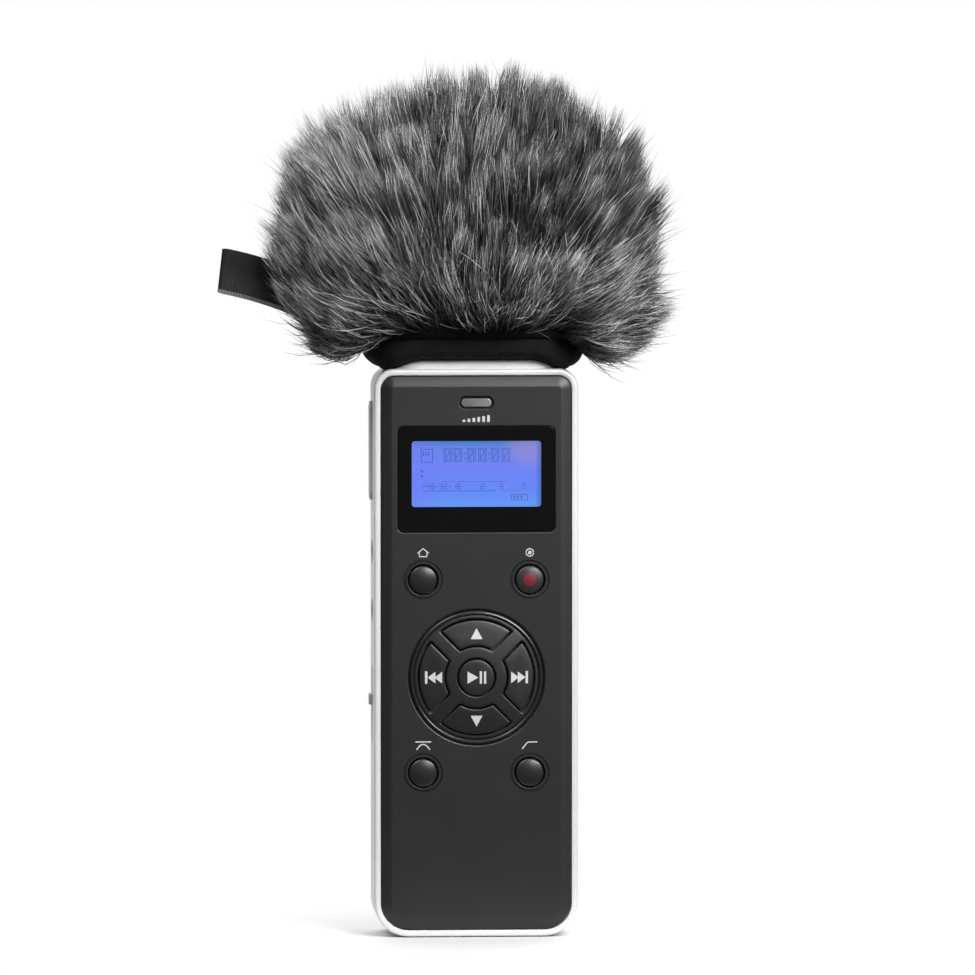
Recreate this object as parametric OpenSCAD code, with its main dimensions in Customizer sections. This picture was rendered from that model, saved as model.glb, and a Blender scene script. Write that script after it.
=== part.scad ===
// Slim handheld field recorder with a crossed microphone pair under a furry windshield.
// Millimetres. The origin is the centre of the base, +Z runs up the recorder, -Y is its front.

/* [Body] */
// Width of the body
body_w = 46; // [44:0.5:56]
// Height of the body without the microphones
body_h = 128; // [106:1:156]
// Depth from the frame's front face to the back
body_d = 20; // [20:0.5:26]
// Corner radius at the top of the body
top_r = 4.6; // [4:0.1:7]
// Corner radius at the foot of the body
foot_r = 7.7; // [6:0.1:9]
// Wall of the frame and of the rear shell
wall = 1.45; // [1.2:0.05:2]
// Depth of the front frame, back to the seam
frame_d = 5; // [4.8:0.1:6]
// Rounding of the rear edges
rear_round = 3; // [2:0.1:4]

/* [Front panel] */
// How far the black panel stands out of the frame
panel_proud = 0.8; // [0.4:0.1:1.2]
// Thickness of the panel
panel_t = 2.4; // [2:0.1:3]
// Shadow gap between panel and frame
panel_gap = 0.25; // [0.15:0.05:0.4]
// Width of the panel's sloping shoulder
shoulder_w = 2; // [1:0.1:2.5]
// Width of the ledge that carries the panel
ledge_w = 3; // [2.5:0.1:4]

/* [Screen] */
// Width of the gloss lens
lens_w = 35.2; // [30:0.1:36]
// Height of the gloss lens
lens_h = 23.7; // [20:0.1:26]
// Thickness of the lens
lens_t = 0.9; // [0.8:0.1:1.2]
// Centre of the lens, down from the top
lens_drop = 24.8; // [23:0.1:27]
// Width of the visible display
screen_w = 29.1; // [24:0.1:30]
// Height of the visible display
screen_h = 14.8; // [12:0.1:16]
// Centre of the display, up from the centre of the lens
screen_rise = 1.2; // [0:0.1:2]
// Thickness of the display glass
glass_t = 1.8; // [1.2:0.1:2]

/* [Peak light] */
// Length of the light pipe's window
pipe_l = 6.8; // [5:0.1:8]
// Height of the light pipe's window
pipe_h = 1.9; // [1.4:0.1:2.4]
// Centre of the light, down from the top
pipe_drop = 7.6; // [7:0.1:9]

/* [Round buttons] */
// Radius of a button cap
cap_r = 3.1; // [2.6:0.1:3.6]
// Distance of the buttons from the centre line
button_x = 12; // [11:0.1:14]
// Upper buttons, down from the top
upper_drop = 47.4; // [46:0.1:49]
// Lower buttons, down from the top
lower_drop = 90.9; // [89:0.1:92]
// Height of a cap's dome
dome_h = 0.55; // [0.3:0.05:0.8]
// Travel of every key and button
key_travel = 0.4; // [0.3:0.05:0.6]

/* [Control pad] */
// Radius of the pad's trim ring
ring_r = 15.1; // [14.6:0.1:16]
// Width of the trim ring
ring_w = 0.9; // [0.6:0.1:1.2]
// Centre of the pad, down from the top
pad_drop = 69.4; // [68:0.1:71]
// Inner radius of the four outer keys
key_in_r = 7; // [6.6:0.1:7.5]
// Outer radius of the four outer keys
key_out_r = 13.3; // [12.5:0.1:13.4]
// Half the distance between neighbouring keys
key_side = 1.6; // [1.3:0.1:2]
// Radius of the centre key
play_r = 4; // [3.5:0.1:4.3]
// Gap around a key in the pad
key_gap = 0.3; // [0.2:0.05:0.4]

/* [Left side] */
// Top of the volume rocker, down from the top of the body
rocker_drop = 7.5; // [7:0.1:9]
// Length of the volume rocker
rocker_l = 22.5; // [18:0.1:24]
// Width of the volume rocker
rocker_w = 4; // [3:0.1:4.4]
// How far the side controls stand out
side_proud = 0.8; // [0.5:0.1:1.2]
// Tilt of the rocker each way
rocker_tilt = 3; // [2:0.1:4]
// Length of the shallow track of the slide switch
track_l = 19; // [16:0.1:20]
// Length of the slide switch's knob
knob_l = 2.5; // [2:0.1:4]
// Throw of the knob each way
knob_throw = 2.5; // [1.5:0.1:3]
// Length of the card door
door_l = 15.3; // [14.5:0.1:16]
// Lower end of the card door above the base
door_z = 18; // [16:0.1:20]
// Outer radius of a jack's nose
nose_r = 2.9; // [2.6:0.05:3]
// Radius of a jack's bore
jack_r = 1.75; // [1.7:0.01:1.8]
// Depth of a jack's bore
jack_depth = 12; // [10:0.5:12]

/* [Battery bay] */
// Diameter of a cell
cell_d = 10.5; // [10:0.1:10.5]
// Length of a cell, its button included
cell_l = 44.5; // [43:0.1:45]
// Height of the bay above the base
bay_z = 9; // [8:0.1:10]
// Length of a fitted contact spring
spring_l = 4; // [3:0.1:5]
// Width of the battery cover
cover_w = 33.4; // [32:0.1:36]

/* [Back] */
// Minor radius of the tripod thread
thread_r = 2.55; // [2.5:0.01:2.6]
// Depth of the tripod thread
thread_l = 6; // [5:0.1:7]
// Outer radius of the tripod bush
bush_r = 4.5; // [4:0.1:5]
// Radius of the speaker
speaker_r = 7; // [6:0.1:7.5]
// Centre of the speaker, down from the top
speaker_drop = 24; // [22:0.1:26]

/* [Microphones] */
// Width of the microphone base
head_w = 40; // [34:0.5:42]
// Depth of the microphone base
head_d = 15; // [14.6:0.1:15.5]
// Height of the microphone base
head_h = 5.4; // [5:0.1:7]
// Radius of a microphone
mic_r = 3.6; // [3.2:0.05:3.7]
// Length of a microphone's tube
tube_l = 15; // [13:0.5:18]
// Length of a microphone's grille
grille_l = 5; // [4:0.5:6]
// Foot of a microphone's axis, out from the centre line
mic_x = 10.5; // [9:0.1:12]

/* [Windshield] */
// Half the width of the fur's body
fur_a = 43; // [38:0.5:46]
// Half the depth of the fur's body
fur_b = 33; // [28:0.5:36]
// Height of the fur above its rim
fur_h = 56; // [50:0.5:60]
// Height of the fur's widest part above its rim
fur_waist = 21; // [18:0.5:24]
// Thickness of the pile
pile_t = 12; // [10:0.5:14]
// Thickness of the lining
lining_t = 2.4; // [2:0.1:3]
// Height of the elastic cuff
cuff_h = 6.3; // [5.8:0.1:7.5]
// Thickness of the cuff
cuff_t = 1.4; // [1:0.1:2]
// Width of the woven label
label_w = 9.9; // [8:0.1:11]
// Length of the label outside the fur
label_l = 15.4; // [12:0.1:17]
// Slope of the label
label_tilt = 10.8; // [0:0.1:15]

/* [Hidden] */
$fn = 64;

// Small clearances
slack = 0.1;
seat_gap = 0.05;
soft_gap = 0.35;
over = 1;

// Depths, from the front to the back
front_y = -body_d / 2;
back_y = body_d / 2;
back_in = back_y - wall;
seam_y = front_y + frame_d;
panel_front = front_y - panel_proud;
panel_back = panel_front + panel_t;
flange_t = 0.6;
flange_front = panel_back + slack;
flange_back = flange_front + flange_t;
membrane_t = 0.6;
membrane_front = flange_back + key_travel + slack;
membrane_back = membrane_front + membrane_t;
plunger_front = membrane_back + key_travel + slack;
plunger_h = 0.3;
switch_h = 1.5;
board_front = plunger_front + switch_h;
board_t = 1.2;
board_back = board_front + board_t;
port_y = board_back + 3.4;

// Widths
side_x = body_w / 2;
side_in = side_x - wall;

// The ledge, and the lip that centres the rear shell in the frame
lip_t = 0.8;
lip_h = 1.4;
board_inset = wall + slack + lip_t + 0.6;

// Heights of the front's features
lens_z = body_h - lens_drop;
screen_z = lens_z + screen_rise;
pipe_z = body_h - pipe_drop;
upper_z = body_h - upper_drop;
lower_z = body_h - lower_drop;
pad_z = body_h - pad_drop;
lens_r = 0.9;
screen_r = 0.6;
pipe_step = 0.5;
pipe_recess = 0.35;
board_top = body_h - board_inset;
board_foot = 8.2;

// Button and key details
button_gap = 0.4;
button_ring_in = 3.95;
button_ring_out = 4.3;
button_ring_depth = 0.3;
flange_wide = 0.7;
key_flange = 0.45;
stem_r = 1.3;
stem_hole = 2;
button_proud = 0.5;
key_proud = 0.15;
plate_sunk = 0.15;
plate_t = 0.8;
plate_rim_t = 0.5;
ring_proud = 0.1;
pad_hole = key_out_r + key_gap + 0.2;
plate_back = panel_front + plate_sunk + plate_t;
key_mid = (key_in_r + key_out_r) / 2;
BUTTONS = [[-button_x, upper_z], [button_x, upper_z], [-button_x, lower_z], [button_x, lower_z]];
KEY_TURNS = [0, 180, 90, 270];
KEY_PLACES = [for (turn = KEY_TURNS) [-key_mid * sin(turn), pad_z + key_mid * cos(turn)]];
STEMS = concat(BUTTONS, KEY_PLACES, [[0, pad_z]]);

// The left side's controls share out its height between the rocker's top and the door's foot
jack_w = 2 * nose_r;
spare = body_h - rocker_drop - door_z - rocker_l - 2 * jack_w - track_l - door_l;
SHARES = [0.26, 0.22, 0.27, 0.25];
rocker_z = body_h - rocker_drop - rocker_l / 2;
jack_top_z = rocker_z - rocker_l / 2 - SHARES[0] * spare - nose_r;
jack_low_z = jack_top_z - SHARES[1] * spare - jack_w;
track_z = jack_low_z - nose_r - SHARES[2] * spare - track_l / 2;
knob_z = track_z + 1.7;
door_mid = door_z + door_l / 2;
track_depth = 0.45;
track_w = 4.4;
knob_w = 3.2;
knob_plate_w = 5;
knob_plate_t = 0.45;
knob_x = -side_in + slack;
door_w = 6.4;
door_t = 0.9;
door_gap = 0.15;
rocker_gap = 0.15 + (wall + side_proud) * sin(rocker_tilt);
rocker_back = side_in - 0.95;
pin_r = 0.8;
pin_x = -rocker_back + 0.75;
pin_play = 0.05;
lug_t = 1.1;
lug_gap = 0.25;
lug_l = 3.6;
lug_deep = 3.1;
jack_body_l = 12.6;

// Card, its socket and the data port
card_t = 1;
card_w = 11;
card_l = 15;
socket_t = 1.7;
socket_wall = 0.3;
socket_w = 12.6;
socket_l = 14.8;
socket_y = board_back + seat_gap;
card_y = socket_y + socket_wall + seat_gap;
socket_x = -side_in + slack;
usb_z = 24;
usb_w = 7.6;
usb_t = 2.7;
usb_l = 5.8;
usb_wall = 0.4;

// Battery bay
tray_t = 0.8;
tray_floor = 0.6;
cell_play = 0.3;
contact_t = 0.4;
nub_r = 1.9;
nub_h = 0.8;
tray_in_w = 2 * cell_d + 2 * cell_play - 0.1;
tray_in_l = cell_l + spring_l + 2 * contact_t;
tray_left = socket_x + socket_l + slack;
tray_x = tray_left + tray_t + tray_in_w / 2;
tray_front = board_back + seat_gap;
cell_y = tray_front + tray_floor + seat_gap + cell_d / 2;
tray_back = cell_y + 3.2;
cell_half = tray_in_w / 4;
cell_base_z = bay_z + tray_t;
wire_r = 0.3;
coil_r = 3;
coil_turns = 3;
coil_steps = 14;
wire_sides = 6;

// Battery cover
cover_top = bay_z + tray_in_l + 2 * tray_t + 3;
cover_play = 0.15;
tongue_w = 1.1;
tongue_t = 0.8;
tongue_top = cover_top - 6;

// Bush, speaker and screws
speaker_t = 3;
speaker_z = body_h - speaker_drop;
bush_z = (cover_top + speaker_z - speaker_r) / 2;
bush_flange = 0.8;
bush_flange_t = 1;
SLOTS = 5;
slot_h = 1;
slot_pitch = 2.2;
screw_x = side_in - 2.1;
screw_low = 11;
screw_high_x = side_x - top_r - 0.2;
screw_high = body_h - top_r;
front_boss_r = 1.9;
boss_r = 2.2;
screw_boss_r = 2.8;
screw_r = 0.8;
screw_hole = 0.9;
screw_head_r = 1.7;
screw_head_t = 1.1;
screw_seat = back_in - 2.55;
well_r = 1.95;
cross_w = 0.45;
cross_l = 2;
thread_play = 0.02;
SCREWS = [
    [-screw_x, screw_low], [screw_x, screw_low],
    [-screw_high_x, screw_high], [screw_high_x, screw_high]
];

// Microphones
head_y = -rear_round / 2;
head_top = body_h + head_h;
spigot_w = 30;
spigot_front = board_back + 0.2;
spigot_back = head_y + head_d / 2 - 1.5;
spigot_h = wall + 2;
mic_gap = 0.3;
mic_y = mic_r + mic_gap / 2;
mic_z = head_top + 2.8;
mic_tilt = 45;
tube_wall = 0.5;
cap_wall = 0.4;
collar_wall = 1.2;
collar_l = 4.4;
collar_back = 6;
element_l = 3;
grille_slots = 5;
grille_slot = 0.5;

// Windshield
cuff_z = body_h + 0.3;
rim_z = cuff_z + cuff_h;
cuff_half = head_w / 2 + soft_gap;
cuff_deep = head_d / 2 + soft_gap;
fur_rim_a = cuff_half + cuff_t + 2;
fur_rim_b = cuff_deep + cuff_t + 1.5;
fur_in_rim_a = cuff_half + 0.3 + lining_t;
fur_in_rim_b = cuff_deep + 0.3 + lining_t;
dome_segs = 40;
low_rings = 7;
high_rings = 10;
fold_r = 0.65;
cloth_t = 0.35;
label_z = rim_z + 13;
label_root = fur_a + soft_gap;

// ---- helpers ----

// Extrudes an outline drawn in X and Z from depth y0 back to depth y1.
module slab(y0, y1) {
    translate([0, y1, 0]) rotate([90, 0, 0]) linear_extrude(y1 - y0) children();
}

// Extrudes an outline drawn in Y and Z from x0 to x1.
module across(x0, x1) {
    translate([x0, 0, 0]) rotate([90, 0, 90]) linear_extrude(x1 - x0) children();
}

// A round rod along Y at x, z.
module y_rod(x, z, r, y0, y1) {
    translate([x, y0, z]) rotate([-90, 0, 0]) cylinder(h = y1 - y0, r = r);
}

// A round rod along X at y, z.
module x_rod(y, z, r, x0, x1) {
    translate([x0, y, z]) rotate([0, 90, 0]) cylinder(h = x1 - x0, r = r);
}

// A box between two corners.
module block(low, high) {
    translate(low) cube(high - low);
}

// A rectangle standing on the axis, with one radius at its top and another at its foot.
module tall_outline(w, h, r_top, r_foot) {
    translate([-w / 2, r_foot]) square([w, h - r_top - r_foot]);
    translate([-w / 2 + r_foot, 0]) square([w - 2 * r_foot, r_foot + over]);
    translate([-w / 2 + r_top, h - r_top - over]) square([w - 2 * r_top, r_top + over]);
    for (side = [-1, 1]) {
        translate([side * (w / 2 - r_foot), r_foot]) circle(r_foot);
        translate([side * (w / 2 - r_top), h - r_top]) circle(r_top);
    }
}

// The body's outline, moved inwards by an inset.
module body_outline(inset) {
    translate([0, inset])
        tall_outline(body_w - 2 * inset, body_h - 2 * inset, top_r - inset, foot_r - inset);
}

// A centred rectangle with equal corner radii.
module round_rect(w, h, r) {
    translate([0, -h / 2]) tall_outline(w, h, r, r);
}

// A slot with round ends along the first axis.
module stadium(l, h) {
    square([l - h, h], center = true);
    for (side = [-1, 1]) translate([side * (l - h) / 2, 0]) circle(h / 2);
}

// A section from a0 to a1, square in front and rounded at the back.
module back_section(a0, a1, y0, y1, r) {
    translate([a0, y0]) square([a1 - a0, y1 - r - y0]);
    translate([a0 + r, y0]) square([a1 - a0 - 2 * r, y1 - y0]);
    translate([a0 + r, y1 - r]) circle(r);
    translate([a1 - r, y1 - r]) circle(r);
}

// The rear half of the body as a solid, moved inwards by an inset.
module rear_solid(inset, y0) {
    r = rear_round - inset;
    y1 = back_y - inset;
    x1 = side_x - inset;
    intersection() {
        slab(y0, y1) body_outline(inset);
        linear_extrude(body_h) back_section(-x1, x1, y0 - over, y1, r);
        across(-side_x, side_x) mirror([1, -1]) back_section(inset, body_h - inset, y0 - over, y1, r);
    }
}

// The outline of one outer key, pointing up, grown by g.
module key_outline(g) {
    reach = key_out_r + 2;
    low = (key_side - g) * sqrt(2);
    intersection() {
        difference() {
            circle(key_out_r + g);
            circle(key_in_r - g);
        }
        polygon([[0, low], [reach, low + reach], [-reach, low + reach]]);
    }
}

// A superellipse ring of points at height z.
function ring_at(a, b, n, z) = [
    for (i = [0 : dome_segs - 1])
        let (t = 360 * i / dome_segs, c = cos(t), s = sin(t))
        [a * sign(c) * pow(abs(c), 2 / n), b * sign(s) * pow(abs(s), 2 / n), z]
];

// One dome's rings, from its rim up: below the waist they swell out of the rim, above it they close.
function dome_rings(a, b, rim_a, rim_b, waist, top) = concat(
    [for (i = [0 : low_rings - 1])
        let (t = -90 + 90 * i / low_rings, k = cos(t))
        ring_at(rim_a + (a - rim_a) * k, rim_b + (b - rim_b) * k, 4.5 - 2.2 * k,
            rim_z + waist * (1 + sin(t)))],
    [for (i = [0 : high_rings - 1])
        let (t = 90 * i / high_rings, k = pow(cos(t), 0.85))
        ring_at(a * k, b * k, 2.3, rim_z + waist + (top - waist) * sin(t))]
);

// A closed shell between an outer and an inner dome that share a flat rim.
module dome_shell(outer, inner, outer_top, inner_top) {
    rings = len(outer);
    n = dome_segs;
    inner_start = rings * n + 1;
    points = concat(
        [for (ring = outer) for (p = ring) p],
        [[0, 0, rim_z + outer_top]],
        [for (ring = inner) for (p = ring) p],
        [[0, 0, rim_z + inner_top]]
    );
    outer_faces = [for (j = [0 : rings - 2]) for (i = [0 : n - 1])
        let (k = (i + 1) % n)
        [j * n + i, (j + 1) * n + i, (j + 1) * n + k, j * n + k]];
    outer_cap = [for (i = [0 : n - 1])
        [(rings - 1) * n + i, rings * n, (rings - 1) * n + (i + 1) % n]];
    inner_faces = [for (f = outer_faces) [for (i = [3, 2, 1, 0]) inner_start + f[i]]];
    inner_cap = [for (f = outer_cap) [for (i = [2, 1, 0]) inner_start + f[i]]];
    rim_faces = [for (i = [0 : n - 1])
        let (k = (i + 1) % n)
        [i, k, inner_start + k, inner_start + i]];
    faces = concat(outer_faces, outer_cap, inner_faces, inner_cap, rim_faces);
    translate([0, head_y, 0]) polyhedron(points, faces, convexity = 6);
}

// A round wire wound into a coil that stands on z0 about x, y.
module coil(x, y, z0, h) {
    steps = coil_turns * coil_steps;
    rise = h - 2 * wire_r;
    points = [for (i = [0 : steps]) for (j = [0 : wire_sides - 1])
        let (t = 360 * i / coil_steps, w = 360 * j / wire_sides, r = coil_r + wire_r * cos(w))
        [x + r * cos(t), y + r * sin(t), z0 + wire_r + rise * i / steps + wire_r * sin(w)]];
    sides = [for (i = [0 : steps - 1]) for (j = [0 : wire_sides - 1])
        let (k = (j + 1) % wire_sides)
        [i * wire_sides + j, i * wire_sides + k, (i + 1) * wire_sides + k, (i + 1) * wire_sides + j]];
    start = [[for (j = [wire_sides - 1 : -1 : 0]) j]];
    end = [[for (j = [0 : wire_sides - 1]) steps * wire_sides + j]];
    polyhedron(points, concat(sides, start, end), convexity = 8);
}

// ---- casing ----

module front_frame() {
    color("silver") {
        difference() {
            slab(front_y, seam_y) body_outline(0);
            slab(front_y - over, panel_back) body_outline(wall);
            slab(membrane_front, seam_y + over) body_outline(wall);
            slab(front_y, seam_y) body_outline(wall + ledge_w);
        }
        for (p = SCREWS) difference() {
            y_rod(p[0], p[1], front_boss_r, membrane_front - slack, board_front);
            y_rod(p[0], p[1], screw_r + thread_play, membrane_front + 0.3, board_front + over);
        }
    }
}

module front_panel() {
    edge = wall + panel_gap;
    color([0.17, 0.17, 0.18]) difference() {
        union() {
            slab(front_y, panel_back) body_outline(edge);
            slab(panel_front, front_y + slack) body_outline(edge + shoulder_w);
        }
        translate([0, 0, lens_z])
            slab(panel_front - over, panel_front + lens_t + slack)
                round_rect(lens_w + 2 * slack, lens_h + 2 * slack, lens_r + slack);
        translate([0, 0, screen_z])
            slab(panel_front, panel_back + over) round_rect(screen_w + 1.6, screen_h + 1.6, screen_r);
        translate([0, 0, pipe_z]) {
            slab(panel_front - over, panel_front + pipe_recess)
                stadium(pipe_l + 2 * pipe_step, pipe_h + 2 * pipe_step);
            slab(panel_front, panel_back + over) stadium(pipe_l + 2 * slack, pipe_h + 2 * slack);
        }
        for (p = BUTTONS) {
            y_rod(p[0], p[1], cap_r + button_gap, panel_front - over, panel_back + over);
            difference() {
                y_rod(p[0], p[1], button_ring_out, panel_front - over, panel_front + button_ring_depth);
                y_rod(p[0], p[1], button_ring_in, panel_front - over, panel_front + over);
            }
        }
        y_rod(0, pad_z, ring_r + 2 * slack, panel_front - over, plate_back);
        y_rod(0, pad_z, pad_hole, panel_front, panel_back + over);
    }
}

module rear_shell() {
    color("silver") difference() {
        union() {
            difference() {
                rear_solid(0, seam_y);
                rear_solid(wall, seam_y - over);
            }
            seam_lip();
            for (p = SCREWS)
                y_rod(p[0], p[1], p[1] == screw_low ? boss_r : screw_boss_r, board_back,
                    p[1] == screw_low ? screw_seat : back_in + slack);
            rocker_lugs();
            difference() {
                y_rod(0, bush_z, bush_r + wall, back_y - thread_l - wall, back_in + slack);
                y_rod(0, bush_z, bush_r + slack, back_y - thread_l - wall - over, back_y);
            }
            difference() {
                y_rod(0, speaker_z, speaker_r + slack + lip_t, back_in - speaker_t, back_in + slack);
                y_rod(0, speaker_z, speaker_r + slack, back_in - speaker_t - over, back_in + over);
            }
        }
        side_cuts();
        usb_cut();
        cover_cut();
        y_rod(0, bush_z, bush_r + slack, back_in - over, back_y + over);
        for (i = [0 : SLOTS - 1])
            translate([0, 0, speaker_z + (i - (SLOTS - 1) / 2) * slot_pitch])
                slab(back_in - slack, back_y + over) stadium(2 * speaker_r - 3, slot_h);
        for (p = SCREWS) {
            y_rod(p[0], p[1], screw_hole, board_back - over, back_in);
            y_rod(p[0], p[1], well_r, screw_seat, back_y + over);
        }
        block([-spigot_w / 2 - slack, spigot_front - slack, body_h - wall - over],
            [spigot_w / 2 + slack, spigot_back + slack, body_h + over]);
    }
}

// The lip that centres the rear shell in the front frame, notched where the frame's bosses stand.
module seam_lip() {
    difference() {
        union() {
            slab(seam_y - lip_h, seam_y + slack) body_outline(wall + slack);
            slab(seam_y, seam_y + lip_h) body_outline(wall - slack);
        }
        slab(seam_y - lip_h - over, seam_y + lip_h + over) body_outline(wall + slack + lip_t);
        for (p = SCREWS) y_rod(p[0], p[1], front_boss_r + 0.2, seam_y - lip_h - over, board_front + slack);
    }
}

// The two lugs that hold the rocker's pin.
module rocker_lugs() {
    for (side = [-1, 1]) {
        inner = rocker_w / 2 + lug_gap;
        y0 = port_y + (side > 0 ? inner : -inner - lug_t);
        difference() {
            block([-side_in - slack, y0, rocker_z - lug_l / 2],
                [-side_in + lug_deep, y0 + lug_t, rocker_z + lug_l / 2]);
            translate([pin_x, y0 - over, rocker_z])
                rotate([-90, 0, 0]) cylinder(h = lug_t + 2 * over, r = pin_r + thread_play);
        }
    }
}

// Openings in the left side for the rocker, the jacks, the slide switch and the card.
module side_cuts() {
    out = -side_x - over;
    translate([0, port_y, rocker_z])
        across(out, -side_in + slack)
            rotate(90) stadium(rocker_l + 2 * rocker_gap, rocker_w + 2 * lug_gap);
    for (z = [jack_top_z, jack_low_z]) x_rod(port_y, z, nose_r + slack, out, -side_in + slack);
    translate([0, port_y, track_z]) across(out, -side_x + track_depth) rotate(90) stadium(track_l, track_w);
    block([out, port_y - knob_w / 2 - slack, knob_z - knob_l / 2 - knob_throw - slack],
        [-side_in + slack, port_y + knob_w / 2 + slack, knob_z + knob_l / 2 + knob_throw + slack]);
    translate([0, port_y, door_mid])
        across(out, -side_x + door_t + slack)
            round_rect(door_w + 2 * door_gap, door_l + 2 * door_gap, 1);
    block([out, card_y - slack, door_mid - card_w / 2 - 0.2],
        [-side_in + slack, card_y + card_t + slack, door_mid + card_w / 2 + 0.2]);
}

// Opening in the right side for the data port.
module usb_cut() {
    y0 = board_back + seat_gap - slack;
    block([side_in - slack, y0, usb_z - usb_w / 2 - slack],
        [side_x + over, y0 + usb_t + 2 * slack, usb_z + usb_w / 2 + slack]);
}

// Opening in the back and the foot that the battery cover slides through.
module cover_cut() {
    half = cover_w / 2 + cover_play;
    tongue = half + tongue_w;
    block([-half, back_in - slack, -over], [half, back_y + over, cover_top + cover_play]);
    block([-tongue, back_in - tongue_t - 2 * cover_play, -over], [tongue, back_in + 0.01, 2 * wall]);
}

module battery_cover() {
    half = cover_w / 2;
    color("silver") difference() {
        union() {
            intersection() {
                rear_solid(0, back_in);
                block([-half, back_in, 0.2], [half, back_y, cover_top]);
            }
            for (side = [-1, 1])
                block([side > 0 ? half - tongue_w : -half - tongue_w + cover_play,
                    back_in - tongue_t - cover_play, rear_round],
                    [side > 0 ? half + tongue_w - cover_play : -half + tongue_w,
                    back_in - cover_play, tongue_top]);
            for (side = [-1, 1])
                block([side > 0 ? half - tongue_w : -half, back_in - cover_play - slack, rear_round],
                    [side > 0 ? half : -half + tongue_w, back_in + slack, tongue_top]);
        }
        for (i = [0 : 4])
            translate([0, 0, cover_top - 6 - 1.6 * i]) slab(back_y - 0.35, back_y + over) stadium(12, 0.7);
    }
}

module case_screws() {
    color("dimgray") for (p = SCREWS) difference() {
        union() {
            y_rod(p[0], p[1], screw_r, membrane_front + 0.6, screw_seat + slack);
            y_rod(p[0], p[1], screw_head_r, screw_seat, screw_seat + screw_head_t);
        }
        for (turn = [0, 90])
            translate([p[0], screw_seat + screw_head_t, p[1]])
                rotate([0, turn, 0]) cube([cross_l, 1.2, cross_w], center = true);
    }
}

module tripod_bush() {
    color("gold") difference() {
        union() {
            y_rod(0, bush_z, bush_r, back_y - thread_l, back_y - 0.2);
            y_rod(0, bush_z, bush_r + bush_flange, back_y - thread_l - wall - bush_flange_t,
                back_y - thread_l - wall);
            y_rod(0, bush_z, bush_r - 0.6, back_y - thread_l - wall - slack, back_y - thread_l + slack);
        }
        y_rod(0, bush_z, thread_r, back_y - thread_l, back_y + over);
    }
}

module speaker() {
    color("dimgray") {
        y_rod(0, speaker_z, speaker_r, back_in - speaker_t, back_in - 1.6);
        difference() {
            y_rod(0, speaker_z, speaker_r, back_in - 1.7, back_in - seat_gap);
            y_rod(0, speaker_z, speaker_r - 0.8, back_in - 1.2, back_in + over);
        }
    }
}

// ---- power ----

module battery_tray() {
    half = tray_in_w / 2;
    color("black") difference() {
        block([tray_x - half - tray_t, tray_front, bay_z],
            [tray_x + half + tray_t, tray_back, bay_z + tray_in_l + 2 * tray_t]);
        block([tray_x - half, tray_front + tray_floor, cell_base_z],
            [tray_x + half, tray_back + over, cell_base_z + tray_in_l]);
    }
}

module battery_cells() {
    z0 = cell_base_z + contact_t;
    color("darkgoldenrod") {
        translate([tray_x - cell_half, cell_y, z0 + spring_l]) cell();
        translate([tray_x + cell_half, cell_y, z0 + cell_l]) rotate([180, 0, 0]) cell();
    }
}

// One cell, standing on its flat end with its button up.
module cell() {
    cylinder(h = cell_l - nub_h, r = cell_d / 2 - 0.02);
    cylinder(h = cell_l, r = nub_r);
}

module battery_springs() {
    z_low = cell_base_z + contact_t;
    color("lightgray") {
        coil(tray_x - cell_half, cell_y, z_low, spring_l);
        coil(tray_x + cell_half, cell_y, z_low + cell_l, spring_l);
    }
}

module battery_contacts() {
    w = cell_d - 2;
    color("lightgray") for (side = [-1, 1], z = [cell_base_z, cell_base_z + tray_in_l - contact_t])
        translate([tray_x + side * cell_half - w / 2, cell_y - w / 2, z]) cube([w, w, contact_t]);
}

// ---- electronics ----

module main_board() {
    color("darkgreen") difference() {
        slab(board_front, board_back) intersection() {
            body_outline(board_inset);
            translate([-side_x, board_foot]) square([body_w, body_h]);
        }
        for (p = SCREWS) y_rod(p[0], p[1], screw_hole, board_front - over, board_back + over);
    }
}

module board_chips() {
    top = board_back + 1.2;
    color([0.1, 0.1, 0.1]) {
        block([2, board_back, board_top - 16], [12, top, board_top - 6]);
        block([-10, board_back, board_top - 14], [-3, top, board_top - 9]);
        block([9, board_back, bush_z - 4], [16, top, bush_z + 3]);
    }
}

module lcd_module() {
    color("lightsteelblue") translate([0, 0, screen_z])
        slab(panel_back + seat_gap, panel_back + seat_gap + glass_t)
            square([screen_w + 4.4, screen_h + 5], center = true);
}

module lcd_backlight() {
    color("white") translate([0, 0, screen_z])
        slab(panel_back + glass_t + 2 * seat_gap, board_front)
            square([screen_w + 3.6, screen_h + 4], center = true);
}

module lcd_lens() {
    color([0.03, 0.03, 0.04]) translate([0, 0, lens_z])
        slab(panel_front, panel_front + lens_t) round_rect(lens_w, lens_h, lens_r);
}

module peak_light_pipe() {
    color("lightgray") translate([0, 0, pipe_z]) {
        slab(panel_front + 0.15, board_front - 1) stadium(pipe_l, pipe_h);
        slab(panel_back + slack, panel_back + 0.8) stadium(pipe_l + 1.2, pipe_h + 1.2);
    }
}

module peak_led() {
    color("white") block([-1, board_front - 0.9, pipe_z - 0.6], [1, board_front, pipe_z + 0.6]);
}

module key_switches() {
    w = 2.6;
    color("silver") for (p = STEMS) {
        block([p[0] - w, plunger_front + plunger_h, p[1] - w], [p[0] + w, board_front, p[1] + w]);
        y_rod(p[0], p[1], 0.9, plunger_front, plunger_front + plunger_h + slack);
    }
}

module rocker_switches() {
    x0 = pin_x + 0.6;
    color("dimgray") for (side = [-1, 1]) {
        z = rocker_z + side * rocker_l * 0.3;
        block([x0 + 0.6, board_back, z - 2], [x0 + 4, port_y + 1, z + 2]);
        block([x0, port_y - 0.8, z - 0.8], [x0 + 0.7, port_y + 0.8, z + 0.8]);
    }
}

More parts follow.
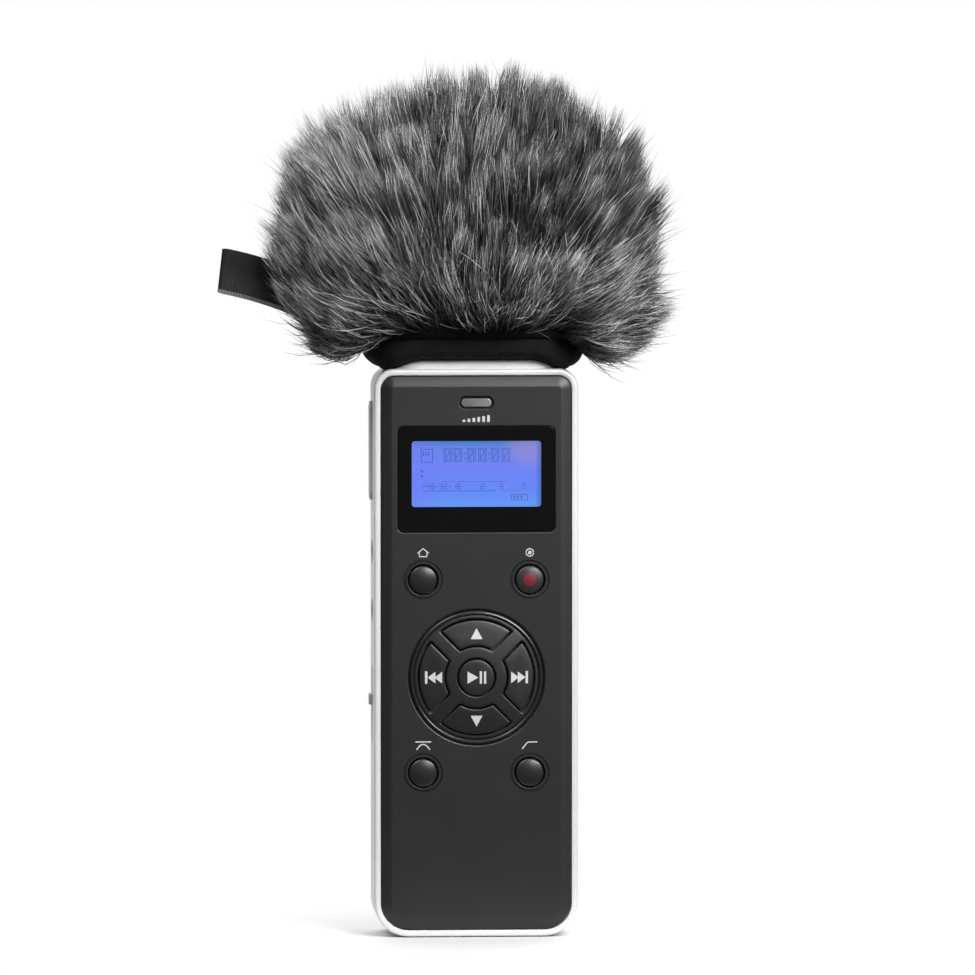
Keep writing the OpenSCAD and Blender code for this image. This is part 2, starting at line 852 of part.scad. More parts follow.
// A jack: its body stands on the board and its nose passes through the side.
module jack(z) {
    color([0.12, 0.12, 0.12]) difference() {
        union() {
            block([-side_in + slack, board_back, z - nose_r],
                [-side_in + jack_body_l, port_y + nose_r, z + nose_r]);
            x_rod(port_y, z, nose_r, -side_x + slack, -side_in + over);
        }
        x_rod(port_y, z, jack_r, -side_x - over, -side_x + slack + jack_depth);
    }
}

module headphone_jack() {
    jack(jack_top_z);
}

module line_jack() {
    jack(jack_low_z);
}

module slide_switch() {
    front = knob_x + knob_plate_t + slack;
    peg = knob_throw + 0.9;
    color("lightgray") difference() {
        block([front, board_back, knob_z - 5.5], [front + 4, port_y + 2.4, knob_z + 5.5]);
        block([front - over, port_y - 0.8, knob_z - peg], [front + 1.4, port_y + 0.8, knob_z + peg]);
    }
}

module card_socket() {
    w = socket_w / 2;
    color("silver") difference() {
        block([socket_x, socket_y, door_mid - w], [socket_x + socket_l, socket_y + socket_t, door_mid + w]);
        block([socket_x - over, card_y - seat_gap, door_mid - card_w / 2 - slack],
            [socket_x + socket_l - 0.2, card_y + card_t + seat_gap, door_mid + card_w / 2 + slack]);
    }
}

module memory_card() {
    x0 = socket_x + socket_l - 0.25 - card_l;
    color([0.08, 0.08, 0.09]) difference() {
        block([x0, card_y, door_mid - card_w / 2], [x0 + card_l, card_y + card_t, door_mid + card_w / 2]);
        block([x0 + card_l - 5, card_y - over, door_mid - card_w / 2 - over],
            [x0 + card_l + over, card_y + card_t + over, door_mid - card_w / 2 + 1.2]);
    }
}

module usb_port() {
    y0 = board_back + seat_gap;
    x1 = side_x - 0.15;
    color("silver") difference() {
        block([x1 - usb_l, y0, usb_z - usb_w / 2], [x1, y0 + usb_t, usb_z + usb_w / 2]);
        difference() {
            block([x1 - usb_l + usb_wall, y0 + usb_wall, usb_z - usb_w / 2 + usb_wall],
                [x1 + over, y0 + usb_t - usb_wall, usb_z + usb_w / 2 - usb_wall]);
            block([x1 - usb_l, y0 + usb_t / 2 - 0.3, usb_z - 2.4],
                [x1 - 1, y0 + usb_t / 2 + 0.3, usb_z + 2.4]);
        }
    }
}

// ---- keys and controls ----

// The stem under a key, through the membrane to its switch.
module stem(x, z) {
    y_rod(x, z, stem_r, flange_back - slack, membrane_back);
}

// A round button with a domed cap, a flange behind the panel and a stem.
module round_button(place) {
    crown = panel_front - button_proud;
    sphere_r = (cap_r * cap_r + dome_h * dome_h) / (2 * dome_h);
    intersection() {
        y_rod(place[0], place[1], cap_r, crown - over, flange_front + slack);
        translate([place[0], crown + sphere_r, place[1]]) sphere(sphere_r, $fn = 96);
    }
    y_rod(place[0], place[1], cap_r + flange_wide, flange_front, flange_back);
    stem(place[0], place[1]);
}

// One of the four outer keys, turned to its place.
module outer_key(index) {
    translate([0, 0, pad_z]) rotate([0, -KEY_TURNS[index], 0]) {
        slab(panel_front + plate_sunk - key_proud, flange_back) key_outline(0);
        slab(flange_front, flange_back) key_outline(key_flange);
    }
    stem(KEY_PLACES[index][0], KEY_PLACES[index][1]);
}

module up_key() {
    color([0.13, 0.13, 0.14]) outer_key(0);
}

module down_key() {
    color([0.13, 0.13, 0.14]) outer_key(1);
}

module previous_key() {
    color([0.13, 0.13, 0.14]) outer_key(2);
}

module next_key() {
    color([0.13, 0.13, 0.14]) outer_key(3);
}

module play_key() {
    color([0.13, 0.13, 0.14]) {
        y_rod(0, pad_z, play_r, panel_front + plate_sunk - key_proud, flange_back);
        y_rod(0, pad_z, play_r + key_flange, flange_front, flange_back);
        stem(0, pad_z);
    }
}

module home_button() {
    color([0.13, 0.13, 0.14]) round_button(BUTTONS[0]);
}

module record_button() {
    color([0.3, 0.08, 0.1]) round_button(BUTTONS[1]);
}

module limiter_button() {
    color([0.13, 0.13, 0.14]) round_button(BUTTONS[2]);
}

module low_cut_button() {
    color([0.13, 0.13, 0.14]) round_button(BUTTONS[3]);
}

module keypad_membrane() {
    half = side_in - ledge_w + 1.4;
    color("gray") difference() {
        block([-half, membrane_front, lower_z - 6.5], [half, membrane_back, upper_z + 6.5]);
        for (p = STEMS) y_rod(p[0], p[1], stem_hole, membrane_front - over, membrane_back + over);
    }
}

module pad_plate() {
    front = panel_front + plate_sunk;
    color([0.15, 0.15, 0.16]) translate([0, 0, pad_z]) difference() {
        union() {
            slab(front, plate_back) circle(ring_r - ring_w - slack);
            slab(plate_back - plate_rim_t, plate_back) circle(ring_r);
        }
        for (turn = KEY_TURNS)
            rotate([0, turn, 0]) slab(front - over, plate_back + over) key_outline(key_gap);
        slab(front - over, plate_back + over) circle(play_r + key_gap);
    }
}

module pad_ring() {
    color([0.1, 0.1, 0.11]) translate([0, 0, pad_z])
        slab(panel_front - ring_proud, plate_back - plate_rim_t) difference() {
            circle(ring_r);
            circle(ring_r - ring_w);
        }
}

module volume_rocker() {
    color("silver") difference() {
        union() {
            translate([0, port_y, rocker_z])
                across(-side_x - side_proud, -rocker_back) rotate(90) stadium(rocker_l, rocker_w);
            block([-rocker_back - slack, port_y - rocker_w / 2, rocker_z - 1.5],
                [pin_x, port_y + rocker_w / 2, rocker_z + 1.5]);
            translate([pin_x, port_y - rocker_w / 2, rocker_z])
                rotate([-90, 0, 0]) cylinder(h = rocker_w, r = 1.5);
        }
        translate([pin_x, port_y - rocker_w / 2 - over, rocker_z])
            rotate([-90, 0, 0]) cylinder(h = rocker_w + 2 * over, r = pin_r + pin_play);
    }
}

module rocker_pin() {
    reach = rocker_w / 2 + lug_gap + lug_t;
    color("lightgray") y_rod(pin_x, rocker_z, pin_r, port_y - reach, port_y + reach);
}

module slide_knob() {
    half = knob_l / 2;
    color("gray") {
        block([-side_x - side_proud, port_y - knob_w / 2, knob_z - half],
            [knob_x + knob_plate_t, port_y + knob_w / 2, knob_z + half]);
        block([knob_x, port_y - knob_plate_w / 2, knob_z - half - 2.2],
            [knob_x + knob_plate_t, port_y + knob_plate_w / 2, knob_z + half + 2.2]);
        block([knob_x, port_y - 0.6, knob_z - 0.6],
            [knob_x + knob_plate_t + 1.2, port_y + 0.6, knob_z + 0.6]);
    }
}

module card_door() {
    color("darkgray") translate([0, port_y, door_mid]) difference() {
        across(-side_x, -side_x + door_t) round_rect(door_w, door_l, 1);
        block([-side_x - over, -door_w / 2 + 0.8, -2.5], [-side_x + 0.35, -door_w / 2 + 1.6, 2.5]);
    }
}

// ---- microphones ----

// The plan of the microphone base, grown by g.
module head_plan(g) {
    translate([0, head_y]) stadium(head_w + 2 * g, head_d + 2 * g);
}

// Moves its children to a microphone's foot and leans them over the centre line.
module on_mic_axis(side) {
    translate([side * mic_x, head_y + side * mic_y, mic_z]) rotate([0, -side * mic_tilt, 0]) children();
}

module mic_base() {
    color([0.1, 0.1, 0.11]) difference() {
        union() {
            translate([0, 0, body_h]) linear_extrude(head_h) head_plan(0);
            block([-spigot_w / 2, spigot_front, body_h - spigot_h],
                [spigot_w / 2, spigot_back, body_h + slack]);
            intersection() {
                translate([0, 0, head_top - slack]) linear_extrude(20) head_plan(0);
                for (side = [-1, 1])
                    on_mic_axis(side) translate([0, 0, -collar_back])
                        cylinder(h = collar_l + collar_back, r = mic_r + collar_wall);
            }
        }
        for (side = [-1, 1]) on_mic_axis(side) cylinder(h = 60, r = mic_r + seat_gap);
    }
}

module mic_tube(side) {
    color("dimgray") on_mic_axis(side) difference() {
        cylinder(h = tube_l, r = mic_r);
        translate([0, 0, 1]) cylinder(h = tube_l, r = mic_r - tube_wall);
    }
}

module mic_grille(side) {
    color("gray") on_mic_axis(side) translate([0, 0, tube_l]) difference() {
        union() {
            cylinder(h = grille_l, r = mic_r);
            translate([0, 0, -1.5]) cylinder(h = 2, r = mic_r - tube_wall - seat_gap);
        }
        translate([0, 0, -over - 1.5])
            cylinder(h = grille_l + 1.5 + over - cap_wall, r = mic_r - tube_wall - cap_wall);
        for (i = [0 : grille_slots - 1])
            translate([(i - (grille_slots - 1) / 2) * 2 * grille_slot, 0, grille_l])
                cube([grille_slot, mic_r, 2 * over], center = true);
    }
}

module mic_element(side) {
    r = mic_r - tube_wall - cap_wall - seat_gap;
    color("goldenrod") on_mic_axis(side)
        translate([0, 0, tube_l + grille_l - cap_wall - seat_gap - element_l]) cylinder(h = element_l, r = r);
}

module left_mic_tube() {
    mic_tube(-1);
}

module right_mic_tube() {
    mic_tube(1);
}

module left_mic_grille() {
    mic_grille(-1);
}

module right_mic_grille() {
    mic_grille(1);
}

module left_mic_element() {
    mic_element(-1);
}

module right_mic_element() {
    mic_element(1);
}

// ---- windshield ----

in_a = fur_a - pile_t;
in_b = fur_b - pile_t;
in_waist = fur_waist + 1;
in_top = fur_h - pile_t;

module windshield_fur() {
    outer = dome_rings(fur_a, fur_b, fur_rim_a, fur_rim_b, fur_waist, fur_h);
    inner = dome_rings(in_a, in_b, fur_in_rim_a, fur_in_rim_b, in_waist, in_top);
    color([0.4, 0.4, 0.4]) dome_shell(outer, inner, fur_h, in_top);
}

module windshield_lining() {
    g = seat_gap;
    t = lining_t;
    outer = dome_rings(in_a - g, in_b - g, fur_in_rim_a - g, fur_in_rim_b - g, in_waist, in_top - g);
    inner = dome_rings(in_a - t, in_b - t, fur_in_rim_a - t, fur_in_rim_b - t, in_waist, in_top - t);
    color([0.2, 0.2, 0.2]) dome_shell(outer, inner, in_top - g, in_top - t);
}

module windshield_cuff() {
    color([0.08, 0.08, 0.08]) translate([0, 0, cuff_z]) linear_extrude(cuff_h) difference() {
        head_plan(soft_gap + cuff_t);
        head_plan(soft_gap);
    }
}

module windshield_label() {
    color([0.05, 0.05, 0.05]) translate([-label_root, head_y, label_z]) rotate([0, label_tilt, 0])
        translate([0, 0, -label_w / 2]) linear_extrude(label_w) difference() {
            union() {
                translate([-label_l + fold_r, -fold_r]) square([label_l - fold_r - 1, 2 * fold_r]);
                translate([-label_l + fold_r, 0]) circle(fold_r);
            }
            translate([-label_l + fold_r, -fold_r + cloth_t]) square([label_l, 2 * (fold_r - cloth_t)]);
            translate([-label_l + fold_r, 0]) circle(fold_r - cloth_t);
        }
}

front_frame();
front_panel();
rear_shell();
battery_cover();
battery_tray();
battery_cells();
battery_springs();
battery_contacts();
main_board();
board_chips();
lcd_module();
lcd_backlight();
lcd_lens();
peak_light_pipe();
peak_led();
keypad_membrane();
pad_plate();
pad_ring();
up_key();
down_key();
previous_key();
next_key();
play_key();
home_button();
record_button();
limiter_button();
low_cut_button();
key_switches();
volume_rocker();
rocker_pin();
rocker_switches();
headphone_jack();
line_jack();
slide_switch();
slide_knob();
card_socket();
memory_card();
card_door();
usb_port();
tripod_bush();
case_screws();
speaker();
mic_base();
left_mic_tube();
right_mic_tube();
left_mic_grille();
right_mic_grille();
left_mic_element();
right_mic_element();
windshield_fur();
windshield_lining();
windshield_cuff();
windshield_label();
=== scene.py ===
import math

import bmesh
import bpy
import numpy as np
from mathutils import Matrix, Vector


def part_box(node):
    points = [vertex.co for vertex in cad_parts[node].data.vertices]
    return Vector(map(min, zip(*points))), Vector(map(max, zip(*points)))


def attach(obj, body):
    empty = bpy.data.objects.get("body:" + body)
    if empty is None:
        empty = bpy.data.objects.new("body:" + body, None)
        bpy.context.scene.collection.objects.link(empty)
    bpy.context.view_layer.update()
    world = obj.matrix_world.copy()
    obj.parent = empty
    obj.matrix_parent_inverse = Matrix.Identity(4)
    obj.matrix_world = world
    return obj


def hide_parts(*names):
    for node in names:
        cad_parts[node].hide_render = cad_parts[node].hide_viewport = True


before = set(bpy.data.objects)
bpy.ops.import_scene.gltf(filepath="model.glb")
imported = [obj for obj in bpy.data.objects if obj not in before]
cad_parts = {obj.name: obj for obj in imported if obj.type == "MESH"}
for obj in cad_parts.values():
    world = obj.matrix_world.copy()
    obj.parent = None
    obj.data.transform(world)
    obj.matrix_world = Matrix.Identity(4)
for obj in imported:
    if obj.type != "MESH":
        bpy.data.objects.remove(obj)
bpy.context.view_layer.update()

MM = 0.001
TURN = 2 * math.pi


# ---- where the CAD has things, in millimetres ----


def low(node):
    """The lowest corner of a CAD node's box."""
    return np.array(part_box(node)[0]) / MM


def high(node):
    """The highest corner of a CAD node's box."""
    return np.array(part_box(node)[1]) / MM


def middle(node):
    """The centre of a CAD node's box."""
    return (low(node) + high(node)) / 2


BODY_W = 2 * high("front_frame")[0]
BODY_H = high("front_frame")[2]
FRONT_Y = low("front_frame")[1]
SEAM_Y = FRONT_Y + 5
BACK_Y = high("battery_cover")[1]
PANEL_Y = low("front_panel")[1]
PANEL_BACK = high("front_panel")[1]
PANEL_INSET = high("front_frame")[0] - high("front_panel")[0]
TOP_R, FOOT_R = 4.6, 7.7
WALL = 1.45
SEAM_CUT = 0.16
REAR_ROUND = 3.0
COVER_HALF = 16.7
SCREEN = middle("lcd_module")
SCREEN_W, SCREEN_H = 29.1, 14.8
PAD_X, _, PAD_Z = middle("pad_ring")
PAD_R = high("pad_ring")[0]
CAP_R = 3.1
KEY_IN, KEY_OUT, KEY_SIDE = 7.2, 12.85, 1.78
BUTTONS = ["home_button", "record_button", "limiter_button", "low_cut_button"]
KEYS = ["up_key", "down_key", "previous_key", "next_key"]
PORT_Y = 0.0
ROCKER_W, ROCKER_H = 4.0, 22.5
DOOR_W, DOOR_H, DOOR_R = 6.4, 15.3, 1.0
TRACK_Z = middle("slide_knob")[2] - 1.7


# ---- shaders ----


class Wire:
    """A socket of a shader. Arithmetic on it adds Math nodes, and node() adds any other node beside it."""

    def __init__(self, tree, socket=None):
        self.tree, self.socket = tree, socket

    def node(self, kind, settings=None, sockets=None, out=0):
        """Adds a node: its settings first, then the values or wires of its sockets. Returns one output."""
        made = self.tree.nodes.new("ShaderNode" + kind)
        for key, value in (settings or {}).items():
            if key == "stops":
                ramp = made.color_ramp
                while len(ramp.elements) < len(value):
                    ramp.elements.new(0.5)
                for element, (place, colour) in zip(ramp.elements, value):
                    element.position = place
                    element.color = (*colour, 1)
            else:
                setattr(made, key, value)
        for key, value in (sockets or {}).items():
            if isinstance(value, Wire):
                self.tree.links.new(value.socket, made.inputs[key])
            else:
                made.inputs[key].default_value = value
        return Wire(self.tree, made.outputs[out])

    def math(self, operation, *values):
        """A Math node on the given values, or on this one alone."""
        return self.node("Math", {"operation": operation}, dict(enumerate(values or (self,))))

    def __add__(self, other):
        return self.math("ADD", self, other)

    def __sub__(self, other):
        return self.math("SUBTRACT", self, other)

    def __mul__(self, other):
        return self.math("MULTIPLY", self, other)

    def __truediv__(self, other):
        return self.math("DIVIDE", self, other)

    def __rsub__(self, other):
        return self.math("SUBTRACT", other, self)

    __radd__, __rmul__ = __add__, __mul__

    def step(self, start, end):
        """Rises smoothly from 0 at start to 1 at end."""
        return self.node("MapRange", {"interpolation_type": "SMOOTHSTEP"}, {0: self, 1: start, 2: end})

    def blend(self, first, second):
        """The colour that goes from first to second as this value goes from 0 to 1."""
        return self.node("Mix", {"data_type": "RGBA"}, {0: self, 6: _colour(first), 7: _colour(second)}, 2)

    def ramp(self, stops):
        """The colour that this value has on a ramp of (place, colour) stops."""
        return self.node("ValToRGB", {"stops": stops}, {0: self})

    def parts(self):
        """The three parts of a vector."""
        split = self.node("SeparateXYZ", {}, {0: self})
        return [Wire(self.tree, split.socket.node.outputs[i]) for i in range(3)]


def _colour(value):
    """Adds full opacity to a plain colour, and leaves any other value as it is."""
    return (*value, 1) if isinstance(value, tuple) and len(value) == 3 else value


def grey(v):
    """A neutral colour."""
    return (v, v, v)


class Paint:
    """A material around one Principled shader, with the object's coordinates in millimetres at hand."""

    def __init__(self, name, **constants):
        self.material = bpy.data.materials.new(name)
        self.material.use_nodes = True
        tree = self.material.node_tree
        self.shader = tree.nodes["Principled BSDF"]
        for key, value in constants.items():
            self.shader.inputs[key.replace("_", " ")].default_value = _colour(value)
        self.wire = Wire(tree)
        place = self.wire.node("TexCoord", out=3)
        self.place = place.node("VectorMath", {"operation": "SCALE"}, {0: place, "Scale": 1 / MM})

    def feed(self, socket, wire):
        """Links a wire to a socket of the shader."""
        self.wire.tree.links.new(wire.socket, self.shader.inputs[socket])

    def noise(self, scale, detail=2.0, where=None, rough=0.5):
        """Noise from 0 to 1, with scale features to a millimetre."""
        return self.wire.node("TexNoise", {}, {"Vector": where or self.place, "Scale": scale,
                                               "Detail": detail, "Roughness": rough})

    def grain(self, height, strength, depth):
        """Bumps of the given height pattern, depth in millimetres."""
        self.feed("Normal", self.wire.node("Bump", {}, {"Strength": strength, "Distance": depth * MM,
                                                        "Height": height}))

    def squeeze(self, x, y, z):
        """The object's coordinates, stretched by a factor along each axis."""
        return self.place.node("VectorMath", {"operation": "MULTIPLY"}, {0: self.place, 1: (x, y, z)})


def moulded(name, light, dark, rough, spread=0.06, grain=6.0, depth=0.02, patch=0.15, strength=0.5, **more):
    """A moulded or cast finish: slow patches between two tones, a roughness that varies by spread, and
    a fine grain of grain bumps to a millimetre, depth deep."""
    paint = Paint(name, **more)
    slow = paint.noise(patch, 3)
    fine = paint.noise(grain, 2)
    paint.feed("Base Color", (slow * 0.7 + fine * 0.3).blend(dark, light))
    paint.feed("Roughness", paint.noise(patch * 3, 4) * spread + (rough - spread / 2))
    paint.grain(fine, strength, depth)
    return paint.material


def brushed(name, light, dark, rough, along=(0.3, 8, 8)):
    """A drawn or brushed metal: streaks that run along one axis."""
    paint = Paint(name, Metallic=1.0)
    streak = paint.noise(1.0, 4, paint.squeeze(*along), 0.7)
    paint.feed("Base Color", streak.blend(dark, light))
    paint.feed("Roughness", streak * 0.15 + (rough - 0.07))
    paint.grain(streak, 0.3, 0.01)
    return paint.material


def knitted(name, light, dark, pitch, rough=0.85, depth=0.12, **more):
    """A ribbed knit: rows of little loops from two crossed waves."""
    paint = Paint(name, **more)
    x, y, z = paint.place.parts()
    across = ((x + y * 0.6) * (TURN / pitch)).math("SINE")
    up = (z * (TURN / pitch * 1.1)).math("SINE")
    loops = across * up * 0.5 + 0.5
    paint.feed("Base Color", (loops * 0.6 + paint.noise(0.5, 4) * 0.4).blend(dark, light))
    paint.feed("Roughness", loops * 0.1 + (rough - 0.05))
    paint.grain(loops + paint.noise(7.0, 3) * 0.5, 0.7, depth)
    return paint.material


def silver_paint():
    """Metallic silver paint over plastic: flakes that glint, under a thin clear coat."""
    paint = Paint("silver_paint", Metallic=0.3, Coat_Weight=0.25, Coat_Roughness=0.18)
    flakes = paint.noise(9.0, 1)
    paint.feed("Base Color", (flakes * 0.6 + paint.noise(0.06, 3) * 0.4).blend(grey(0.65), grey(0.78)))
    paint.feed("Roughness", paint.noise(0.2, 4) * 0.1 + 0.3)
    paint.grain(flakes, 0.12, 0.01)
    return paint.material


def record_cap():
    """The record button: the black of the others, with a printed crimson dot in the middle."""
    paint = Paint("record_cap_black")
    x, _, z = paint.place.parts()
    centre = middle("record_button")
    off_x, off_z = x - float(centre[0]), z - float(centre[2])
    reach = (off_x * off_x + off_z * off_z).math("SQRT")
    dot = 1 - reach.step(1.3, 1.6)
    fine = paint.noise(8.0, 2)
    black = fine.blend(grey(0.012), grey(0.020))
    crimson = fine.blend((0.11, 0.004, 0.013), (0.18, 0.007, 0.023))
    paint.feed("Base Color", dot.blend(black, crimson))
    paint.feed("Roughness", fine * 0.08 + 0.36)
    paint.grain(fine, 0.3, 0.01)
    return paint.material


def display_glow():
    """The lit display: violet blue, bluer at the foot and in soft clouds, paler in the upper right corner.
    Its top and right edges are darker: painted shade where the walls of the window shade the glass."""
    paint = Paint("display_glow", Roughness=0.25, Base_Color=grey(0.01), Emission_Strength=1.12)
    x, _, z = paint.place.parts()
    across = (x + SCREEN_W / 2) / SCREEN_W
    up = (z - float(SCREEN[2] - SCREEN_H / 2)) / SCREEN_H
    # Painted shade: the last stops darken the top edge, where the window's wall shades the glass.
    ground = up.ramp([(0.0, (0.13, 0.33, 1.0)), (0.25, (0.13, 0.26, 1.0)), (0.6, (0.16, 0.235, 1.0)),
                      (0.9, (0.13, 0.25, 0.86)), (1.0, (0.07, 0.21, 0.56))])
    far_x, far_z = (across - 0.97) * 2.2, (up - 0.93) * 1.5
    corner = 1 - (far_x * far_x + far_z * far_z).step(0.0, 0.42)
    lit = (corner * 0.6).blend(ground, (0.36, 0.27, 0.62))
    left = (1 - across.step(0.0, 0.3)) * 0.5
    lit = left.blend(lit, (0.19, 0.2, 1.0))
    # Painted shade: a dark band down the right edge, where the window's wall shades the glass.
    rim = across.step(0.955, 1.0) * 0.7
    lit = rim.blend(lit, (0.07, 0.16, 0.5))
    cloud = paint.noise(0.25, 2)
    lit = (cloud.step(0.55, 0.8) * 0.35).blend(lit, (0.1, 0.34, 1.0))
    paint.feed("Emission Color", lit)
    return paint.material


def display_ink():
    """The display's dark segments, still lit a little from behind."""
    paint = Paint("display_ink", Roughness=0.3, Base_Color=grey(0.01), Emission_Strength=1.0)
    fade = paint.place.parts()[0].step(2.0, 12.0)
    paint.feed("Emission Color", fade.blend((0.055, 0.08, 0.5), (0.12, 0.13, 0.62)))
    return paint.material


def woven_label():
    """Black satin: fine warp ribs along the label, with a grey woven selvedge at its lower edge."""
    paint = Paint("label_satin", Sheen_Weight=0.05, Sheen_Roughness=0.4, Specular_IOR_Level=0.25)
    where = paint.wire.node("UVMap", {"uv_map": "OFBake"})
    u, v, _ = where.parts()
    warp = (v * (TURN * 46)).math("SINE") * 0.5 + 0.5
    weft = (u * (TURN * 90)).math("SINE") * 0.5 + 0.5
    knots = (u * (TURN * 60)).math("SINE") * 0.5 + 0.5
    edge = 1 - v.step(0.075, 0.1)
    satin = (warp * 0.6 + weft * 0.4).blend(grey(0.003), grey(0.007))
    selvedge = (knots * 0.5 + weft * 0.2 + paint.noise(1.6, 3) * 0.5).blend(grey(0.03), grey(0.2))
    paint.feed("Base Color", edge.blend(satin, selvedge))
    paint.feed("Roughness", edge * 0.3 + 0.5)
    paint.grain(warp * 0.4 + weft * 0.4 + edge * knots * 3, 0.6, 0.05)
    return paint.material


def fur_pile():
    """Synthetic fur: near black at the root, grey on the way up, pale at the tip. Along the map's
    first axis each column is a tone of strand, and along its second a strand runs from root to tip."""
    paint = Paint("fur_pile", Roughness=0.42, Specular_IOR_Level=0.45)
    where = paint.wire.node("UVMap", {"uv_map": "OFBake"})
    tone, along, _ = where.parts()
    dark = along.ramp([(0.0, grey(0.003)), (0.45, grey(0.009)), (0.8, grey(0.028)), (1.0, grey(0.05))])
    mid = along.ramp([(0.0, grey(0.005)), (0.3, grey(0.02)), (0.65, grey(0.07)), (1.0, grey(0.16))])
    pale = along.ramp([(0.0, grey(0.02)), (0.14, grey(0.09)), (0.42, grey(0.27)), (0.85, grey(0.56)),
                       (1.0, grey(0.66))])
    body = tone.step(0.05, 0.5).blend(dark, mid)
    paint.feed("Base Color", tone.step(0.55, 0.98).blend(body, pale))
    return paint.material


def mic_socket():
    """The socket of the microphones: a silver collar at its foot, black plastic above."""
    paint = Paint("mic_socket", Metallic=0.2)
    fine = paint.noise(6.0, 2)
    silver = 1 - paint.place.parts()[2].step(129.9, 130.0)
    above, collar = fine.blend(grey(0.018), grey(0.03)), fine.blend(grey(0.68), grey(0.8))
    paint.feed("Base Color", silver.blend(above, collar))
    paint.feed("Roughness", fine * 0.08 + 0.38)
    paint.grain(fine, 0.3, 0.02)
    return paint.material


def grille_mesh():
    """Pressed wire mesh: rows of round dark holes between bright wires, from two crossed waves."""
    paint = Paint("grille_mesh", Metallic=0.9)
    x, y, z = paint.place.parts()
    rows = ((x + z) * (TURN / 1.1)).math("SINE") * ((x - z + y) * (TURN / 1.1)).math("SINE")
    hole = rows.math("ABSOLUTE").step(0.12, 0.45)
    paint.feed("Base Color", hole.blend(grey(0.5), grey(0.01)))
    paint.feed("Roughness", hole * 0.4 + 0.28)
    paint.grain(1 - hole, 0.8, 0.15)
    return paint.material


def window_glass():
    """The clear part of the lens: almost nothing of its own but a polished surface."""
    paint = Paint("lens_window", Roughness=0.04, Alpha=0.1, Base_Color=grey(0.01))
    paint.grain(paint.noise(0.3, 1), 0.05, 0.005)
    return paint.material


def circuit_green():
    """Green solder mask, paler along tracks that follow the edges of flat Voronoi cells."""
    paint = Paint("circuit_green", Roughness=0.35)
    tracks = paint.wire.node("TexVoronoi", {"feature": "DISTANCE_TO_EDGE"},
                             {"Vector": paint.squeeze(0.3, 0.01, 0.3), "Scale": 1.0})
    paint.feed("Base Color", tracks.step(0.03, 0.06).blend((0.05, 0.22, 0.07), (0.01, 0.09, 0.03)))
    paint.grain(tracks, 0.2, 0.03)
    return paint.material


def cell_jacket():
    """A cell's printed sleeve: copper above a height and black below it, both a little metallic."""
    paint = Paint("cell_jacket", Metallic=0.4, Roughness=0.3)
    z = paint.place.parts()[2]
    paint.feed("Base Color", z.step(44.0, 44.4).blend(grey(0.02), (0.55, 0.25, 0.09)))
    paint.grain(paint.noise(3.0, 2), 0.1, 0.01)
    return paint.material


# ---- forms ----


class Form:
    """Points and faces in millimetres, gathered from rings before they become one mesh."""

    def __init__(self):
        self.points, self.faces, self.count = [], [], 0

    def put(self, points, faces):
        """Adds points, and faces that count from the first of them."""
        points = np.asarray(points, float).reshape(-1, 3)
        self.faces += [tuple(f) for f in (np.asarray(faces) + self.count).tolist()]
        self.points.append(points)
        self.count += len(points)
        return self

    def stack(self, rings, closed=False):
        """Joins rings of equal count, one after another. The first and the last get a flat face each,
        or, when closed, are joined to each other."""
        rings = np.asarray(rings, float)
        k, n = rings.shape[:2]
        i, j = np.meshgrid(np.arange(k if closed else k - 1), np.arange(n), indexing="ij")
        after = (i + 1) % k
        quads = np.stack([i * n + j, i * n + (j + 1) % n, after * n + (j + 1) % n, after * n + j], -1)
        self.put(rings, quads.reshape(-1, 4))
        start = self.count - k * n
        if not closed:
            self.faces.append(tuple(range(start + n - 1, start - 1, -1)))
            self.faces.append(tuple(range(start + (k - 1) * n, start + k * n)))
        return self

    def mesh(self, name):
        """The form as a mesh in metres, its doubled points merged and its faces turned outwards."""
        made = bpy.data.meshes.new(name)
        made.from_pydata((np.concatenate(self.points) * MM).tolist(), [], self.faces)
        edit = bmesh.new()
        edit.from_mesh(made)
        bmesh.ops.remove_doubles(edit, verts=edit.verts, dist=2e-7)
        bmesh.ops.recalc_face_normals(edit, faces=edit.faces)
        edit.to_mesh(made)
        edit.free()
        return made


def piece(name, form, body, material, nodes=(), cuts=(), keeps=(), sharp=30, weigh=True):
    """Makes a form a finished piece: kept inside some forms, cut by others, then set on its body. It
    stands for the CAD nodes named. Edges sharper than sharp degrees stay creased."""
    made = bpy.data.objects.new(name, form.mesh(name) if isinstance(form, Form) else form)
    bpy.context.scene.collection.objects.link(made)
    for operation, forms in (("INTERSECT", keeps), ("DIFFERENCE", cuts)):
        for tool_form in forms:
            tool = bpy.data.objects.new("tool", tool_form.mesh("tool"))
            bpy.context.scene.collection.objects.link(tool)
            step = made.modifiers.new("cut", "BOOLEAN")
            step.operation, step.object, step.solver = operation, tool, "EXACT"
            view = bpy.context.evaluated_depsgraph_get()
            result = bpy.data.meshes.new_from_object(made.evaluated_get(view))
            made.modifiers.clear()
            made.data = result
            result.name = name
            bpy.data.objects.remove(tool)
    made.data.materials.clear()
    made.data.materials.append(material)
    made.data.shade_smooth()
    made.data.set_sharp_from_angle(angle=math.radians(sharp))
    if weigh:
        even = made.modifiers.new("even_shading", "WEIGHTED_NORMAL")
        even.keep_sharp = True
    if nodes:
        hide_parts(*nodes)
    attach(made, body)
    return made


